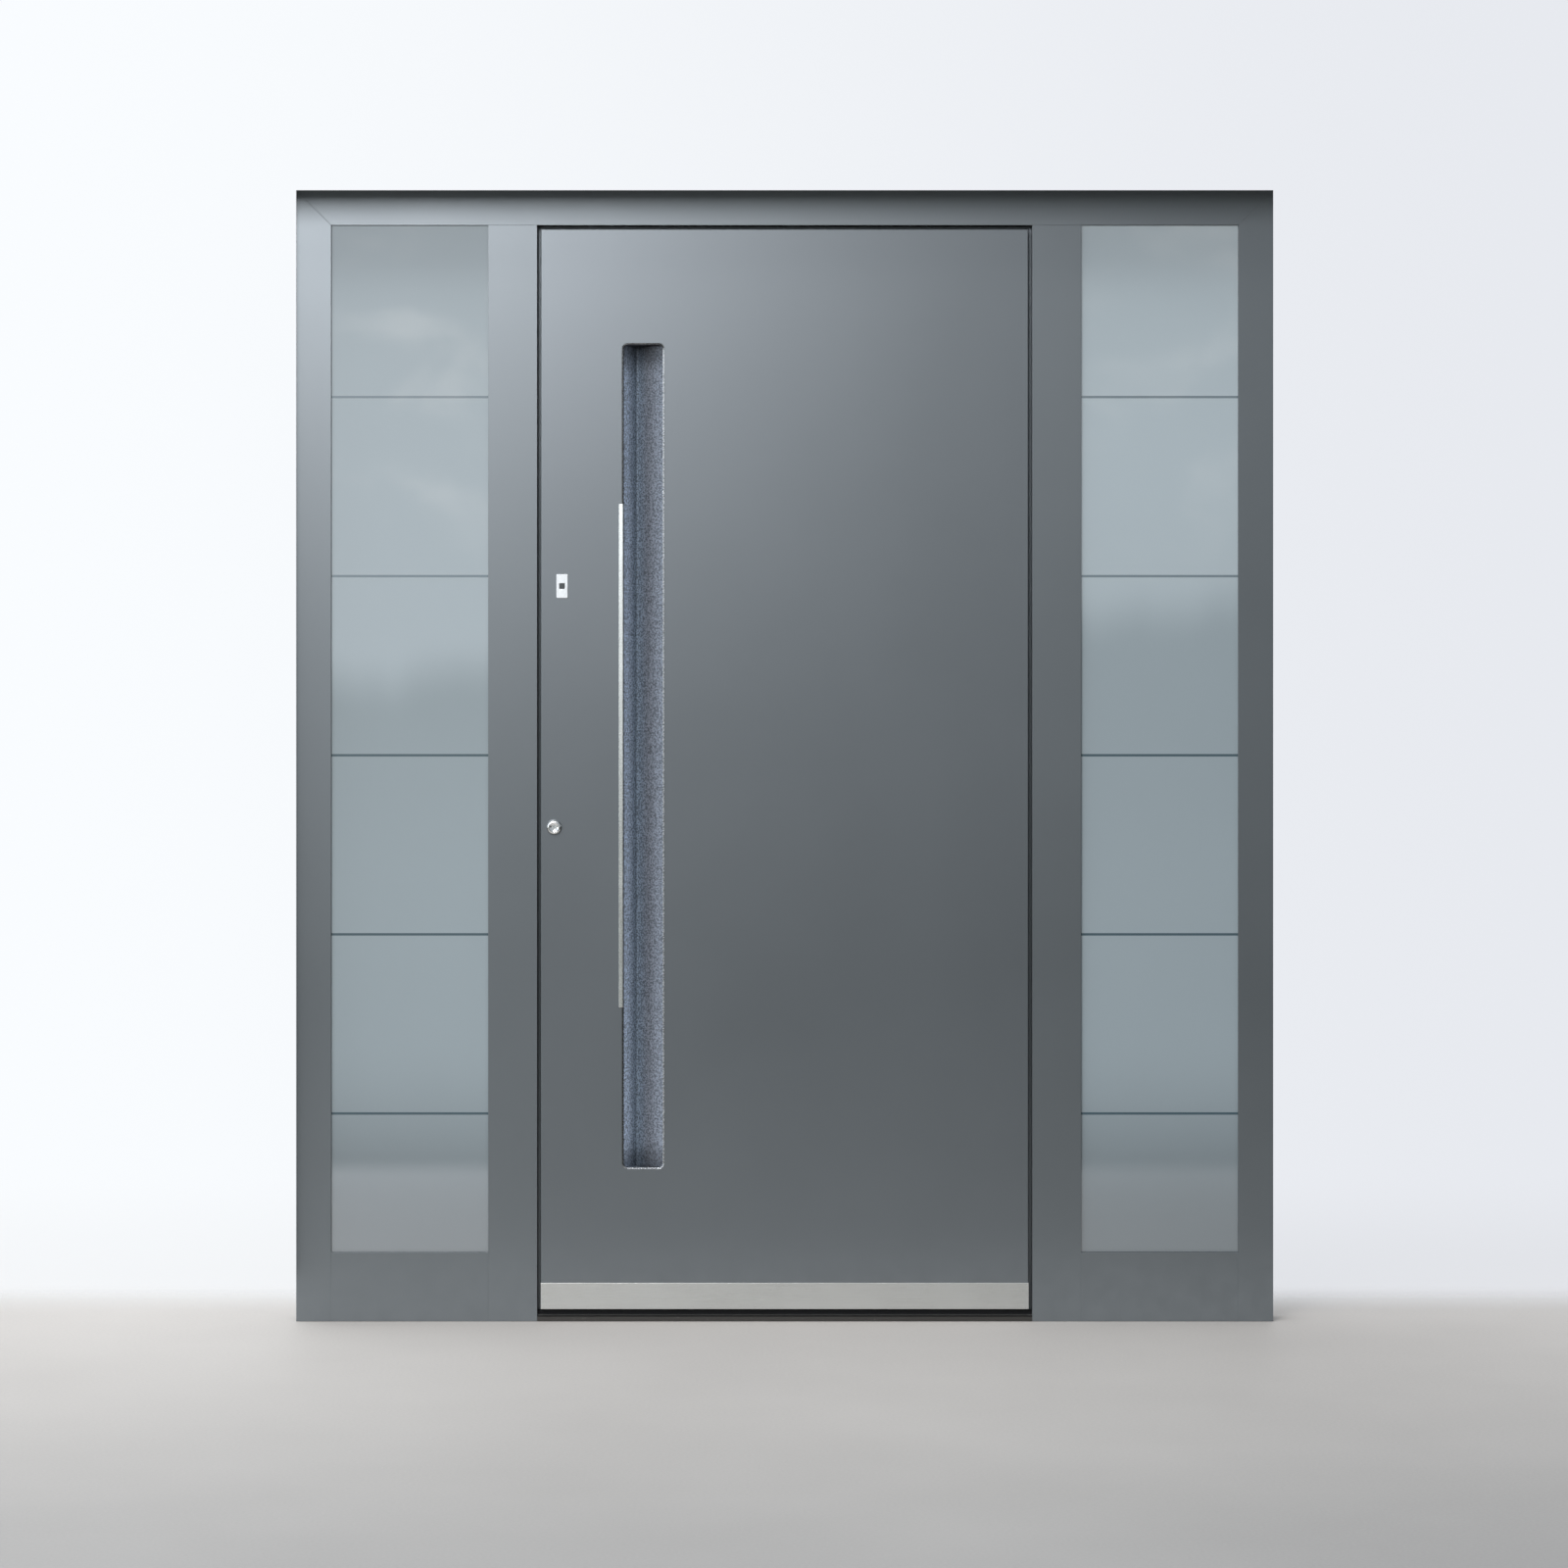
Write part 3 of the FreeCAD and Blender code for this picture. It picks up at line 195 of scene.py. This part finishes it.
def coated(colour, roughness, metallic=0.85, flake_depth=0.16, edge=0.9 * MM):
    """Satin metallic powder coat: fine flakes, faint clouding, a skin texture and dust low down."""
    def build(works):
        place = works.place()
        height = works.split(place)[2]
        flake = works.noise(place, 1500.0, detail=1.0)
        cloud = works.noise(place, 2.2, detail=3.0)
        dust = (1 - height.between(0.0, 0.22)) * works.noise(place, 26.0, detail=5.0)
        tone = 1 + (flake - 0.5) * flake_depth + (cloud - 0.5) * 0.08
        paint = works.shade(colour[:3], tone)
        skin = works.noise(place, 900.0, detail=2.0)
        return {
            "Base Color": works.blend(dust * 0.07, paint, rgb(0.30, 0.29, 0.27)),
            "Metallic": (1 - dust * 0.5) * metallic,
            "Roughness": roughness + (flake - 0.5) * 0.10 + (cloud - 0.5) * 0.06 + dust * 0.12,
            "Normal": works.bump(skin, 0.00006, 0.5, works.soft_edge(edge)),
        }
    return build


def grained(steep, gentle, valley_shade_colour, rim_colour, low, high):
    """Coarse grained coat of the grip trough: a cool steep side whose brightness is a painted sky
    reflection, and a greyer gentle side with painted light that cools it towards its rim; both
    carry painted shade in the valley and painted shadow and shade at the ends, and the bare satin
    rim carries a painted highlight on its right and lower edges and painted shade along its top."""
    valley_x = low.x + TROUGH_VALLEY
    rim_end = low.y + TROUGH_RIM_DEPTH

    def build(works):
        place = works.place()
        across, inward, height = works.split(place)
        aside = across - valley_x
        # Painted shade: the coat turns to the darker valley colour along the trough's valley
        painted_valley_shade = 1 - abs(aside).between(0.0, 25 * MM)
        side = aside.between(-6 * MM, 9 * MM)
        # Painted light: towards its rim the gentle side blends into the steep side's bright colour
        painted_rim_side_light = aside.between(22 * MM, 52 * MM)
        rim = 1 - inward.between(rim_end, rim_end + 0.2 * MM)
        # Painted highlight on the rim's lower and right-hand edges, and painted shade along its top
        # edge
        painted_foot_rim_highlight = 1 - height.between(low.z + 4 * MM, low.z + 9 * MM)
        painted_head_rim_shade = height.between(high.z - 14 * MM, high.z - 6 * MM)
        painted_rim_highlight = aside.between(30 * MM, 44 * MM).math("MAXIMUM", painted_foot_rim_highlight * 0.7)
        painted_rim_highlight = painted_rim_highlight * (1 - painted_head_rim_shade)
        # Painted shadow below the top end, reaching lowest over the valley, and painted shade above
        # the bottom end
        painted_top_shadow = height.between(high.z - 66 * MM - painted_valley_shade * 14 * MM, high.z - 16 * MM)
        painted_bottom_shade = 1 - height.between(low.z + 12 * MM, low.z + 64 * MM)
        grain = works.noise(place, GRAIN_SCALE, detail=2.0, roughness=0.6)
        speck = grain.between(0.36, 0.64)
        mottle = works.noise(place, 70.0, detail=2.0)
        tone = 0.5 + speck + (mottle - 0.5) * 0.08
        tone = tone * (1 - painted_top_shadow * 0.64 - painted_bottom_shade * 0.52)
        gentle_side_painted_light = works.blend(painted_rim_side_light, rgb(*gentle), rgb(*steep))
        coat = works.blend(side, rgb(*steep), works.blend(0.16, rgb(*gentle), gentle_side_painted_light))
        coat = works.blend(painted_valley_shade, coat, rgb(*valley_shade_colour))
        return {
            "Base Color": works.blend(rim, works.shade(coat, tone),
                                      works.shade(rim_colour, painted_rim_highlight * 0.8 + 0.2)),
            "Metallic": rim * 0.7 + 0.3,
            "Roughness": 0.46 + (grain - 0.5) * 0.4 - rim * 0.2,
            "Normal": works.bump(grain, 0.0006, 0.8, works.soft_edge(6 * MM)),
        }
    return build


def brushed(colour, stretch, roughness=0.3, depth=0.25):
    """Stainless steel with hairlines that run along the axis that the stretch leaves short."""
    def build(works):
        place = works.place()
        hairs = works.noise(works.stretched(place, stretch), 1.0, detail=3.0, roughness=0.65)
        cloud = works.noise(place, 9.0, detail=3.0)
        tone = 1 + (hairs - 0.5) * depth + (cloud - 0.5) * 0.08
        return {
            "Base Color": works.shade(colour[:3], tone),
            "Metallic": 1.0,
            "Roughness": roughness + (hairs - 0.5) * 0.22 + (cloud - 0.5) * 0.08,
            "Normal": works.bump(hairs, 0.00008, 0.5, works.soft_edge(0.5 * MM)),
        }
    return build


def frosted_pane():
    """Satin etched pane behind a bright outer face, with five clear stripes across it; the frost
    carries painted shade low down, painted light below its middle and painted light high on the
    right-hand pane.
    """
    def build(works):
        place = works.place()
        across, _, height = works.split(place)
        nearest = (height - STRIPE_TOP) / STRIPE_PITCH
        step = nearest.math("ROUND").math("MAXIMUM", 1.0 - STRIPES).math("MINIMUM", 0.0)
        offset = abs(height - (step * STRIPE_PITCH + STRIPE_TOP))
        stripe = 1 - offset.between(STRIPE_HEIGHT * 0.42, STRIPE_HEIGHT * 0.58)
        etch = works.noise(place, 700.0, detail=2.0)
        cloud = works.noise(place, 3.0, detail=3.0)
        # Painted shade low down, painted light below the middle, and painted light high on the
        # right-hand pane
        painted_foot_shade = 1 - height.between(0.16, 0.58)
        middle = 1 - height.between(0.9, 1.5)
        tone = 1 + (etch - 0.5) * 0.05 + (cloud - 0.5) * 0.06 + middle * 0.12 - painted_foot_shade * 0.62
        tone = tone + across.between(0.0, 0.8) * height.between(0.9, 2.0) * 0.26
        frost = works.shade((0.268, 0.314, 0.332), tone)
        return {
            # The clear stripes are painted dark as painted shade for the dim house behind them
            "Base Color": works.blend(stripe, frost, rgb(0.060, 0.098, 0.118)),
            "Roughness": 0.55 - stripe * 0.4 + (etch - 0.5) * 0.1,
            "IOR": 1.5,
            "Coat Weight": 1.0,
            "Coat Roughness": 0.015,
            "Coat IOR": 2.3,
        }
    return build


def clear_pane():
    """Clear float glass with a trace of green."""
    def build(works):
        place = works.place()
        film = works.noise(place, 5.0, detail=4.0)
        return {
            "Base Color": works.shade((0.93, 0.97, 0.96), 1 - (film - 0.5) * 0.04),
            "Roughness": (film - 0.5) * 0.02 + 0.02,
            "IOR": 1.45,
            "Transmission Weight": 1.0,
        }
    return build


def rubber(colour):
    """Matt extruded rubber with fine drawing lines."""
    def build(works):
        place = works.place()
        grain = works.noise(place, 480.0, detail=3.0)
        return {
            "Base Color": works.shade(colour[:3], 1 + (grain - 0.5) * 0.5),
            "Roughness": 0.72 + (grain - 0.5) * 0.2,
            "Specular IOR Level": 0.25,
            "Normal": works.bump(grain, 0.0001, 0.4),
        }
    return build


def foam(colour):
    """Rigid closed cell foam, cut."""
    def build(works):
        place = works.place()
        cells = works.add("ShaderNodeTexVoronoi", {}, {"Vector": place, "Scale": 260.0})
        return {
            "Base Color": works.shade(colour[:3], 1 - cells * 0.25),
            "Roughness": 0.9 - cells * 0.1,
            "Normal": works.bump(cells, 0.0004, 0.5),
        }
    return build


def anodised(colour, sill_top):
    """Drawn and anodised aluminium with faint lines along X, random scuffs, and a painted highlight
    along its top where feet tread.
    """
    def build(works):
        place = works.place()
        lines = works.noise(works.stretched(place, (6.0, 900.0, 900.0)), 1.0, detail=2.0)
        scuff = works.noise(place, 60.0, detail=5.0, roughness=0.7)
        # Painted highlight: the top edge is lightened as if it caught light from above; the scuffs
        # are real wear
        painted_top_highlight = works.split(place)[2].between(sill_top - 1.6 * MM, sill_top - 0.4 * MM)
        scuffs_and_top_highlight = scuff.between(0.60, 0.80) * 0.4 + painted_top_highlight * 0.9
        return {
            "Base Color": works.blend(scuffs_and_top_highlight * 0.5, works.shade(colour[:3], 1 + (lines - 0.5) * 0.2),
                                      rgb(0.42, 0.41, 0.39)),
            "Metallic": 0.9,
            "Roughness": 0.36 + (lines - 0.5) * 0.1 + scuffs_and_top_highlight * 0.12,
            "Normal": works.bump(lines, 0.00006, 0.4, works.soft_edge(0.5 * MM)),
        }
    return build


def sensor_window():
    """Dark scanning window with a fine grid of electrodes."""
    def build(works):
        place = works.place()
        across, _, height = works.split(place)
        pitch = 0.6 * MM
        columns = (across / pitch).math("FRACT").between(0.42, 0.58)
        rows = (height / pitch).math("FRACT").between(0.42, 0.58)
        smear = works.noise(place, 300.0, detail=4.0)
        grid = (columns + rows) * 0.5
        return {
            "Base Color": works.blend(grid * 0.5, rgb(0.030, 0.034, 0.036),
                                      rgb(0.075, 0.078, 0.078)),
            "Roughness": 0.22 + (smear - 0.5) * 0.3,
            "Coat Weight": 0.6,
        }
    return build


FRAME_COAT = (0.163, 0.177, 0.183)
LEAF_COAT = (0.160, 0.173, 0.180)
HINGE_COAT = (0.152, 0.165, 0.171)
# Painted sky reflection: the trough's steep side gets a bright cool colour for the sky it mirrors
STEEP_SIDE_SKY_REFLECTION = (0.47, 0.545, 0.665)
GENTLE_SIDE = (0.130, 0.140, 0.162)
# Painted shade for the valley of the grip trough
VALLEY_SHADE = (0.150, 0.186, 0.230)
BARE_RIM = (0.48, 0.49, 0.50)
SILL_TOP_HEIGHT = 12.4 * MM
# Hairlines are drawn out along the axis whose stretch is short
ALONG_X = (9.0, 2600.0, 2600.0)
ALONG_Z = (2600.0, 2600.0, 9.0)
FINISHES = {
    "frame_paint": finish("satin coat on the frame", coated(FRAME_COAT, 0.36)),
    "leaf_paint": finish("satin coat on the leaf", coated(LEAF_COAT, 0.345)),
    "trough_paint": finish("grained coat in the trough", grained(
        STEEP_SIDE_SKY_REFLECTION, GENTLE_SIDE, VALLEY_SHADE, BARE_RIM, *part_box("grip_trough"))),
    "frosted_glass": finish("frosted pane with clear stripes", frosted_pane()),
    "clear_glass": finish("clear pane", clear_pane()),
    "spacer": finish("warm edge spacer", rubber((0.05, 0.052, 0.055))),
    "seal_rubber": finish("black sealing rubber", rubber((0.010, 0.010, 0.010))),
    "thermal_strip": finish("black insulating strip", rubber((0.012, 0.012, 0.0125))),
    "core_foam": finish("insulating foam", foam((0.72, 0.66, 0.48))),
    "stainless": finish("satin stainless along the sill", brushed(
        (0.555, 0.553, 0.528), ALONG_X)),
    "upright_stainless": finish("satin stainless upright", brushed(
        (0.66, 0.66, 0.645), ALONG_Z)),
    # Painted highlight: the bar's steel colour is raised far above the other stainless so it reads
    # as white
    "bar_stainless_painted_highlight": finish("bright satin bar", brushed(
        (0.95, 0.955, 0.925), ALONG_Z, 0.2, 0.08)),
    "reader_face": finish("bright reader plate", brushed(
        (0.90, 0.90, 0.90), (2200.0, 2200.0, 30.0), 0.22, 0.1)),
    "sensor": finish("scanning window", sensor_window()),
    "sill_aluminium": finish("dark anodised sill", anodised(
        (0.070, 0.067, 0.062), SILL_TOP_HEIGHT)),
    "hinge_paint": finish("satin coat on the hinges", coated(HINGE_COAT, 0.42)),
    "lock_steel": finish("bright lock steel", brushed(
        (0.86, 0.865, 0.85), (900.0, 900.0, 900.0), 0.2, 0.1)),
}
OWN_FINISH = {"grip_bar": "bar_stainless_painted_highlight", "lock_faceplate": "upright_stainless",
              "strike_plate": "upright_stainless", "inside_lever": "upright_stainless"}


def dress(piece, finish_name):
    piece.data.materials.clear()
    piece.data.materials.append(FINISHES[finish_name])


for part in frame["record"]["subparts"]:
    dress(nodes[part["node"]], OWN_FINISH.get(part["node"], part["material_slot"]))


# New pieces

def surface(name, points, closed_across=False):
    """A mesh from grids of points: rows along the first axis of each grid, and each row's end
    joined to its start where it is closed."""
    grids, rows, columns, _ = points.shape
    grid = np.arange(grids * rows * columns).reshape(grids, rows, columns)
    if closed_across:
        grid = np.concatenate([grid, grid[:, :, :1]], axis=2)
    faces = np.stack([grid[:, :-1, :-1], grid[:, :-1, 1:], grid[:, 1:, 1:], grid[:, 1:, :-1]], -1)
    mesh = bpy.data.meshes.new(name)
    mesh.from_pydata(points.reshape(-1, 3).tolist(), [], faces.reshape(-1, 4).tolist())
    shell = bmesh.new()
    shell.from_mesh(mesh)
    bmesh.ops.remove_doubles(shell, verts=shell.verts, dist=1e-7)
    shell.to_mesh(mesh)
    shell.free()
    mesh.shade_smooth()
    mesh.set_sharp_from_angle(angle=math.radians(32))
    piece = bpy.data.objects.new(name, mesh)
    bpy.context.scene.collection.objects.link(piece)
    return piece


def turned(profile, centres, axis, turns=48, hexagon_rows=0):
    """Surfaces of revolution, one at each centre: the profile's radius goes round by the cosine
    and sine of an even turn, and its reach lies along the axis. The last rows asked for follow a
    hexagon: their radius is divided by the cosine of the turn away from the nearest flat."""
    radius, reach = np.array(profile).T * MM
    turn = np.linspace(0, 2 * np.pi, turns, endpoint=False)
    axis = np.array(axis, float)
    side = np.roll(axis, 1)
    other = np.cross(axis, side)
    round_trip = np.cos(turn)[:, None] * side + np.sin(turn)[:, None] * other
    flats = 1 / np.cos(np.mod(turn, np.pi / 3) - np.pi / 6)
    hexed = np.arange(len(radius)) >= len(radius) - hexagon_rows
    radii = radius[:, None] * np.where(hexed[:, None], flats, 1.0)
    points = radii[..., None] * round_trip + reach[:, None, None] * axis
    return points + np.array(centres, float)[:, None, None, :]


def rounded_step(outer, inner, height, steps=12):
    """Profile of a disc whose edge is a quarter ellipse: radius by cosine, height by sine."""
    turn = np.linspace(0, np.pi / 2, steps)
    radius = inner + (outer - inner) * np.cos(turn)
    return np.stack([radius, height * np.sin(turn)], -1).tolist()


def add_piece(name, points, body, finish_name):
    piece = surface(name, points, closed_across=True)
    dress(piece, finish_name)
    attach(piece, body)
    return piece


def add_rosettes():
    """The domed outside rosette, the inside rosette and the handle rose."""
    low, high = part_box("lock_roses")
    cylinder_low, cylinder_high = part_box("lock_cylinder")
    lever_low, lever_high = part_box("inside_lever")
    lock_x = (low.x + high.x) / 2
    cylinder_z = (cylinder_low.z + cylinder_high.z) / 2
    handle_z = (lever_low.z + lever_high.z) / 2
    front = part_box("leaf_outer_skin")[0].y
    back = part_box("leaf_inner_skin")[1].y
    outer = (high.x - low.x) / 2 / MM
    bore = (cylinder_high.x - cylinder_low.x) / 2 / MM + 0.15
    front_height = (front - low.y) / MM
    back_height = (high.y - back) / MM
    dome = [(outer, 0.0)] + rounded_step(outer, bore + 0.4, front_height) + [(bore, 0.0)]
    flat_rose = [(outer, 0.0), (outer, back_height - 1.5)]
    flat_rose += [(outer - 1.5 + r, back_height - 1.5 + h)
                  for r, h in rounded_step(1.5, 0.0, 1.5, 6)]
    outside = turned(dome, [(lock_x, front, cylinder_z)], (0, -1, 0), 72)
    inside = turned(flat_rose + [(bore, back_height), (bore, 0.0)],
                    [(lock_x, back, cylinder_z)], (0, 1, 0), 72)
    handle = turned(flat_rose + [(9.0, back_height), (0.0, back_height)],
                    [(lock_x, back, handle_z)], (0, 1, 0), 72)
    for name, points in (("outside_rosette", outside), ("inside_rosette", inside),
                         ("handle_rose", handle)):
        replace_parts(add_piece(name, points, "leaf", "lock_steel"), "lock_roses")


def add_fasteners():
    """Hexagon socket screws in the hinge plates, the faceplate and the strike plate, and domed
    caps on the hinge pins."""
    head = [(4.2, -0.3)] + rounded_step(4.2, 2.4, 1.0, 8) + [(1.5, 1.0), (1.5, -0.2), (0.0, -0.2)]
    small_head = [(r * 0.8, h * 0.7) for r, h in head]
    cap = [(9.4, -0.5), (9.4, 0.4)] + [(r, h + 0.4) for r, h in rounded_step(9.4, 0.0, 2.6)]
    knuckle_radius, plate_thickness = 10 * MM, 4 * MM
    side_margin, end_margin = 11 * MM, 14 * MM
    faceplate_margin, strike_margin = 25 * MM, 16 * MM
    between_bolts = (0.56, 0.88, 1.22, 1.60)
    leaf_spots, frame_spots, tops, bottoms = [], [], [], []
    for level in ("low", "middle", "high"):
        low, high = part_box(f"hinge_{level}_frame_part")
        leaf_low, leaf_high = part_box(f"hinge_{level}_leaf_part")
        pin_x = (low.x + leaf_high.x) / 2
        pin_y = high.y - knuckle_radius
        plate_y = low.y + plate_thickness
        heights = np.linspace(low.z + end_margin, high.z - end_margin, 3)
        frame_spots += [(high.x - side_margin, plate_y, z) for z in heights]
        leaf_spots += [(leaf_low.x + side_margin, plate_y, z) for z in heights]
        tops.append((pin_x, pin_y, high.z))
        bottoms.append((pin_x, pin_y, low.z))
    out = (0, 1, 0)
    add_piece("hinge_screws_frame", turned(head, frame_spots, out, 36, 3), "frame",
              "lock_steel")
    add_piece("hinge_screws_leaf", turned(head, leaf_spots, out, 36, 3), "leaf",
              "lock_steel")
    caps = np.concatenate([turned(cap, tops, (0, 0, 1)), turned(cap, bottoms, (0, 0, -1))])
    add_piece("hinge_caps", caps, "frame", "hinge_paint")
    plate_low, plate_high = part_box("lock_faceplate")
    strike_low, strike_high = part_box("strike_plate")
    line_y = (plate_low.y + plate_high.y) / 2
    plate_spots = [(plate_low.x, line_y, z) for z in (
        plate_low.z + faceplate_margin, *between_bolts, plate_high.z - faceplate_margin)]
    strike_spots = [(strike_high.x, line_y, z) for z in (
        strike_low.z + strike_margin, strike_high.z - strike_margin)]
    add_piece("faceplate_screws", turned(small_head, plate_spots, (-1, 0, 0), 36, 3), "leaf",
              "upright_stainless")
    add_piece("strike_screws", turned(small_head, strike_spots, (1, 0, 0), 36, 3), "frame",
              "upright_stainless")


add_rosettes()
add_fasteners()


# Camera, floor and light

def make_camera():
    data = bpy.data.cameras.new("camera")
    data.sensor_width = SENSOR
    data.lens = PIXELS_PER_METRE * EYE_DISTANCE / PHOTO_SIDE * SENSOR
    data.shift_x = (PHOTO_SIDE / 2 - CENTRE_COLUMN) / PHOTO_SIDE
    horizon_row = FLOOR_ROW - EYE_HEIGHT * PIXELS_PER_METRE
    data.shift_y = (horizon_row - PHOTO_SIDE / 2) / PHOTO_SIDE
    camera = bpy.data.objects.new("camera", data)
    camera.location = (0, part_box("head")[0].y - EYE_DISTANCE, EYE_HEIGHT)
    camera.rotation_euler = (math.radians(90), 0, 0)
    bpy.context.scene.collection.objects.link(camera)
    bpy.context.scene.camera = camera


def make_floor():
    """A pale floor in front of the door, with painted light that leaves it a little darker towards
    the eye and painted shade towards the right, that fades into the background behind the door,
    far to the sides and in front of the picture."""
    half = 30.0
    ends = np.array([-half, half])
    across, along = np.meshgrid(ends, ends)
    points = np.stack([across, along, np.full_like(across, -0.5 * MM)], -1)
    floor = surface("floor", points[None])
    material = bpy.data.materials.new("pale floor")
    material.use_nodes = True
    works = Works(material.node_tree)
    place = works.place()
    across, along, _ = works.split(place)
    behind = along.between(0.05, 0.5) * 0.84 + along.between(0.5, 2.6) * 0.16
    far = (across * -1).between(2.2, 5.5).math("MAXIMUM", across.between(1.65, 2.8))
    ahead = 1 - along.between(-3.0, -2.5)
    fade = behind.math("MAXIMUM", far).math("MAXIMUM", ahead)
    door_painted_light = along.between(-2.9, 0.5)
    stone_in_painted_shade, stone_in_painted_light = rgb(0.335, 0.32, 0.303), rgb(0.66, 0.61, 0.56)
    grain = works.noise(place, 1.7, detail=4.0) + works.noise(place, 170.0, detail=3.0)
    # Painted light brightens the stone towards the door; painted shade darkens it towards the right
    stone = works.add("ShaderNodeBsdfPrincipled", {}, {
        "Base Color": works.shade(works.blend(door_painted_light, stone_in_painted_shade, stone_in_painted_light),
                                  1 + (grain - 1.0) * 0.16 - across.between(0.2, 1.2) * 0.2),
        "Roughness": 0.6})
    clear = works.add("ShaderNodeBsdfTransparent", {}, {})
    mixed = works.add("ShaderNodeMixShader", {}, {0: fade, 1: stone, 2: clear})
    works.add("ShaderNodeOutputMaterial", {}, {"Surface": mixed})
    floor.data.materials.append(material)


def make_world():
    """Pale background for the eye, with painted shade that darkens it towards the right; for light
    and gloss a soft sky over a darker ground, both brighter to the left of the door than to its
    right."""
    world = bpy.data.worlds.new("studio")
    bpy.context.scene.world = world
    world.use_nodes = True
    works = Works(world.node_tree)
    direction = works.add("ShaderNodeTexCoord", out="Generated")
    across, along, up = works.split(direction)
    haze = works.noise(works.stretched(direction, (30.0, 30.0, 46.0)), 1.0, detail=5.0,
                       roughness=0.6, distortion=0.4)
    ridge = works.noise(works.stretched(direction, (60.0, 60.0, 4.0)), 1.0, detail=4.0)
    near_ground, far_ground = rgb(0.125, 0.125, 0.117), rgb(0.25, 0.268, 0.255)
    low_sky, high_sky, zenith = rgb(0.92, 1.0, 1.05), rgb(0.40, 0.46, 0.54), rgb(1.2, 1.26, 1.32)
    cloud_white = rgb(1.5, 1.52, 1.52)
    rightward = across.between(-0.20, 0.20)
    ground = works.shade(works.blend(up.between(-0.14, 0.0), near_ground, far_ground),
                         1.25 - rightward * 1.05)
    sky = works.blend(up.between(0.06, 0.20), low_sky, high_sky)
    sky = works.blend(up.between(0.5, 0.95), sky, zenith)
    cloud = haze.between(0.46, 0.70) * up.between(0.01, 0.04)
    sky = works.shade(works.blend(cloud * 0.7, sky, cloud_white), 1.17 - rightward * 0.48)
    skyline = rightward * 0.025 - (ridge - 0.5) * 0.014 - 0.005
    above = (up - skyline).between(-0.012, 0.004)
    left_side = (across * -1).between(0.45, 0.95)
    right_side = across.between(0.45, 0.95)
    around = works.shade(works.blend(above, ground, sky),
                         1 + left_side * 1.4 - right_side * 0.5)
    # Painted shade: the background darkens from left to right
    backdrop = works.blend(across.between(-0.19, 0.19), rgb(0.95, 0.975, 1.0),
                           rgb(0.80, 0.82, 0.865))
    seen = works.add("ShaderNodeLightPath", out="Is Camera Ray")
    through = works.add("ShaderNodeLightPath", out="Is Transmission Ray")
    mirrored = works.add("ShaderNodeLightPath", out="Is Glossy Ray") * along.between(0.25, 0.6)
    shown = seen.math("MAXIMUM", through).math("MAXIMUM", mirrored)
    light = works.add("ShaderNodeBackground", {}, {
        "Color": works.blend(shown, around, backdrop), "Strength": 1.0})
    works.add("ShaderNodeOutputWorld", {}, {"Surface": light})


def make_shades():
    """Two dark boards, unseen by the eye, that keep some light off the head and off the left
    stile: each is a flat sheet from its corner along two edges."""
    low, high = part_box("head")
    material = bpy.data.materials.new("shade board")
    material.use_nodes = True
    works = Works(material.node_tree)
    cloth = works.noise(works.place(), 40.0, detail=2.0)
    matt = works.add("ShaderNodeBsdfPrincipled", {}, {
        "Base Color": works.shade((0.16, 0.16, 0.16), 1 + (cloth - 0.5) * 0.2), "Roughness": 0.9})
    works.add("ShaderNodeOutputMaterial", {}, {"Surface": matt})
    wide = high.x - low.x
    for name, corner, edge, other_edge in (
            ("shade_board_above", (low.x - 0.1, low.y - 0.26, high.z + 0.012),
             (wide + 0.2, 0, 0), (0, 0.255, 0)),
            ("shade_board_left", (low.x - 0.012, low.y - 0.06, 0.1), (0, 0.055, 0),
             (0, 0, high.z - 0.09))):
        shares = np.linspace(0, 1, 2)
        first, second = np.meshgrid(shares, shares)
        points = (np.array(corner) + first[..., None] * np.array(edge)
                  + second[..., None] * np.array(other_edge))
        board = surface(name, points[None])
        board.visible_camera = False
        board.data.materials.append(material)


def add_softbox(name, place, target, width, height, power, colour=(1.0, 1.0, 1.0)):
    data = bpy.data.lights.new(name, "AREA")
    data.shape = "RECTANGLE"
    data.size = width
    data.size_y = height
    data.energy = power
    data.color = colour
    lamp = bpy.data.objects.new(name, data)
    lamp.location = place
    facing = Vector(target) - Vector(place)
    lamp.rotation_euler = facing.to_track_quat("-Z", "Y").to_euler()
    bpy.context.scene.collection.objects.link(lamp)


make_camera()
make_floor()
make_world()
make_shades()
add_softbox("key softbox", place=(-2.3, -8.8, 4.2), target=(0, 0, 1.2), width=3.0, height=2.0,
            power=300.0, colour=(0.985, 1.0, 1.05))
add_softbox("top softbox", place=(-1.7, -4.5, 5.5), target=(0, -1.0, 0.0), width=2.4, height=1.2,
            power=85.0)

bpy.context.scene.view_settings.view_transform = "Standard"
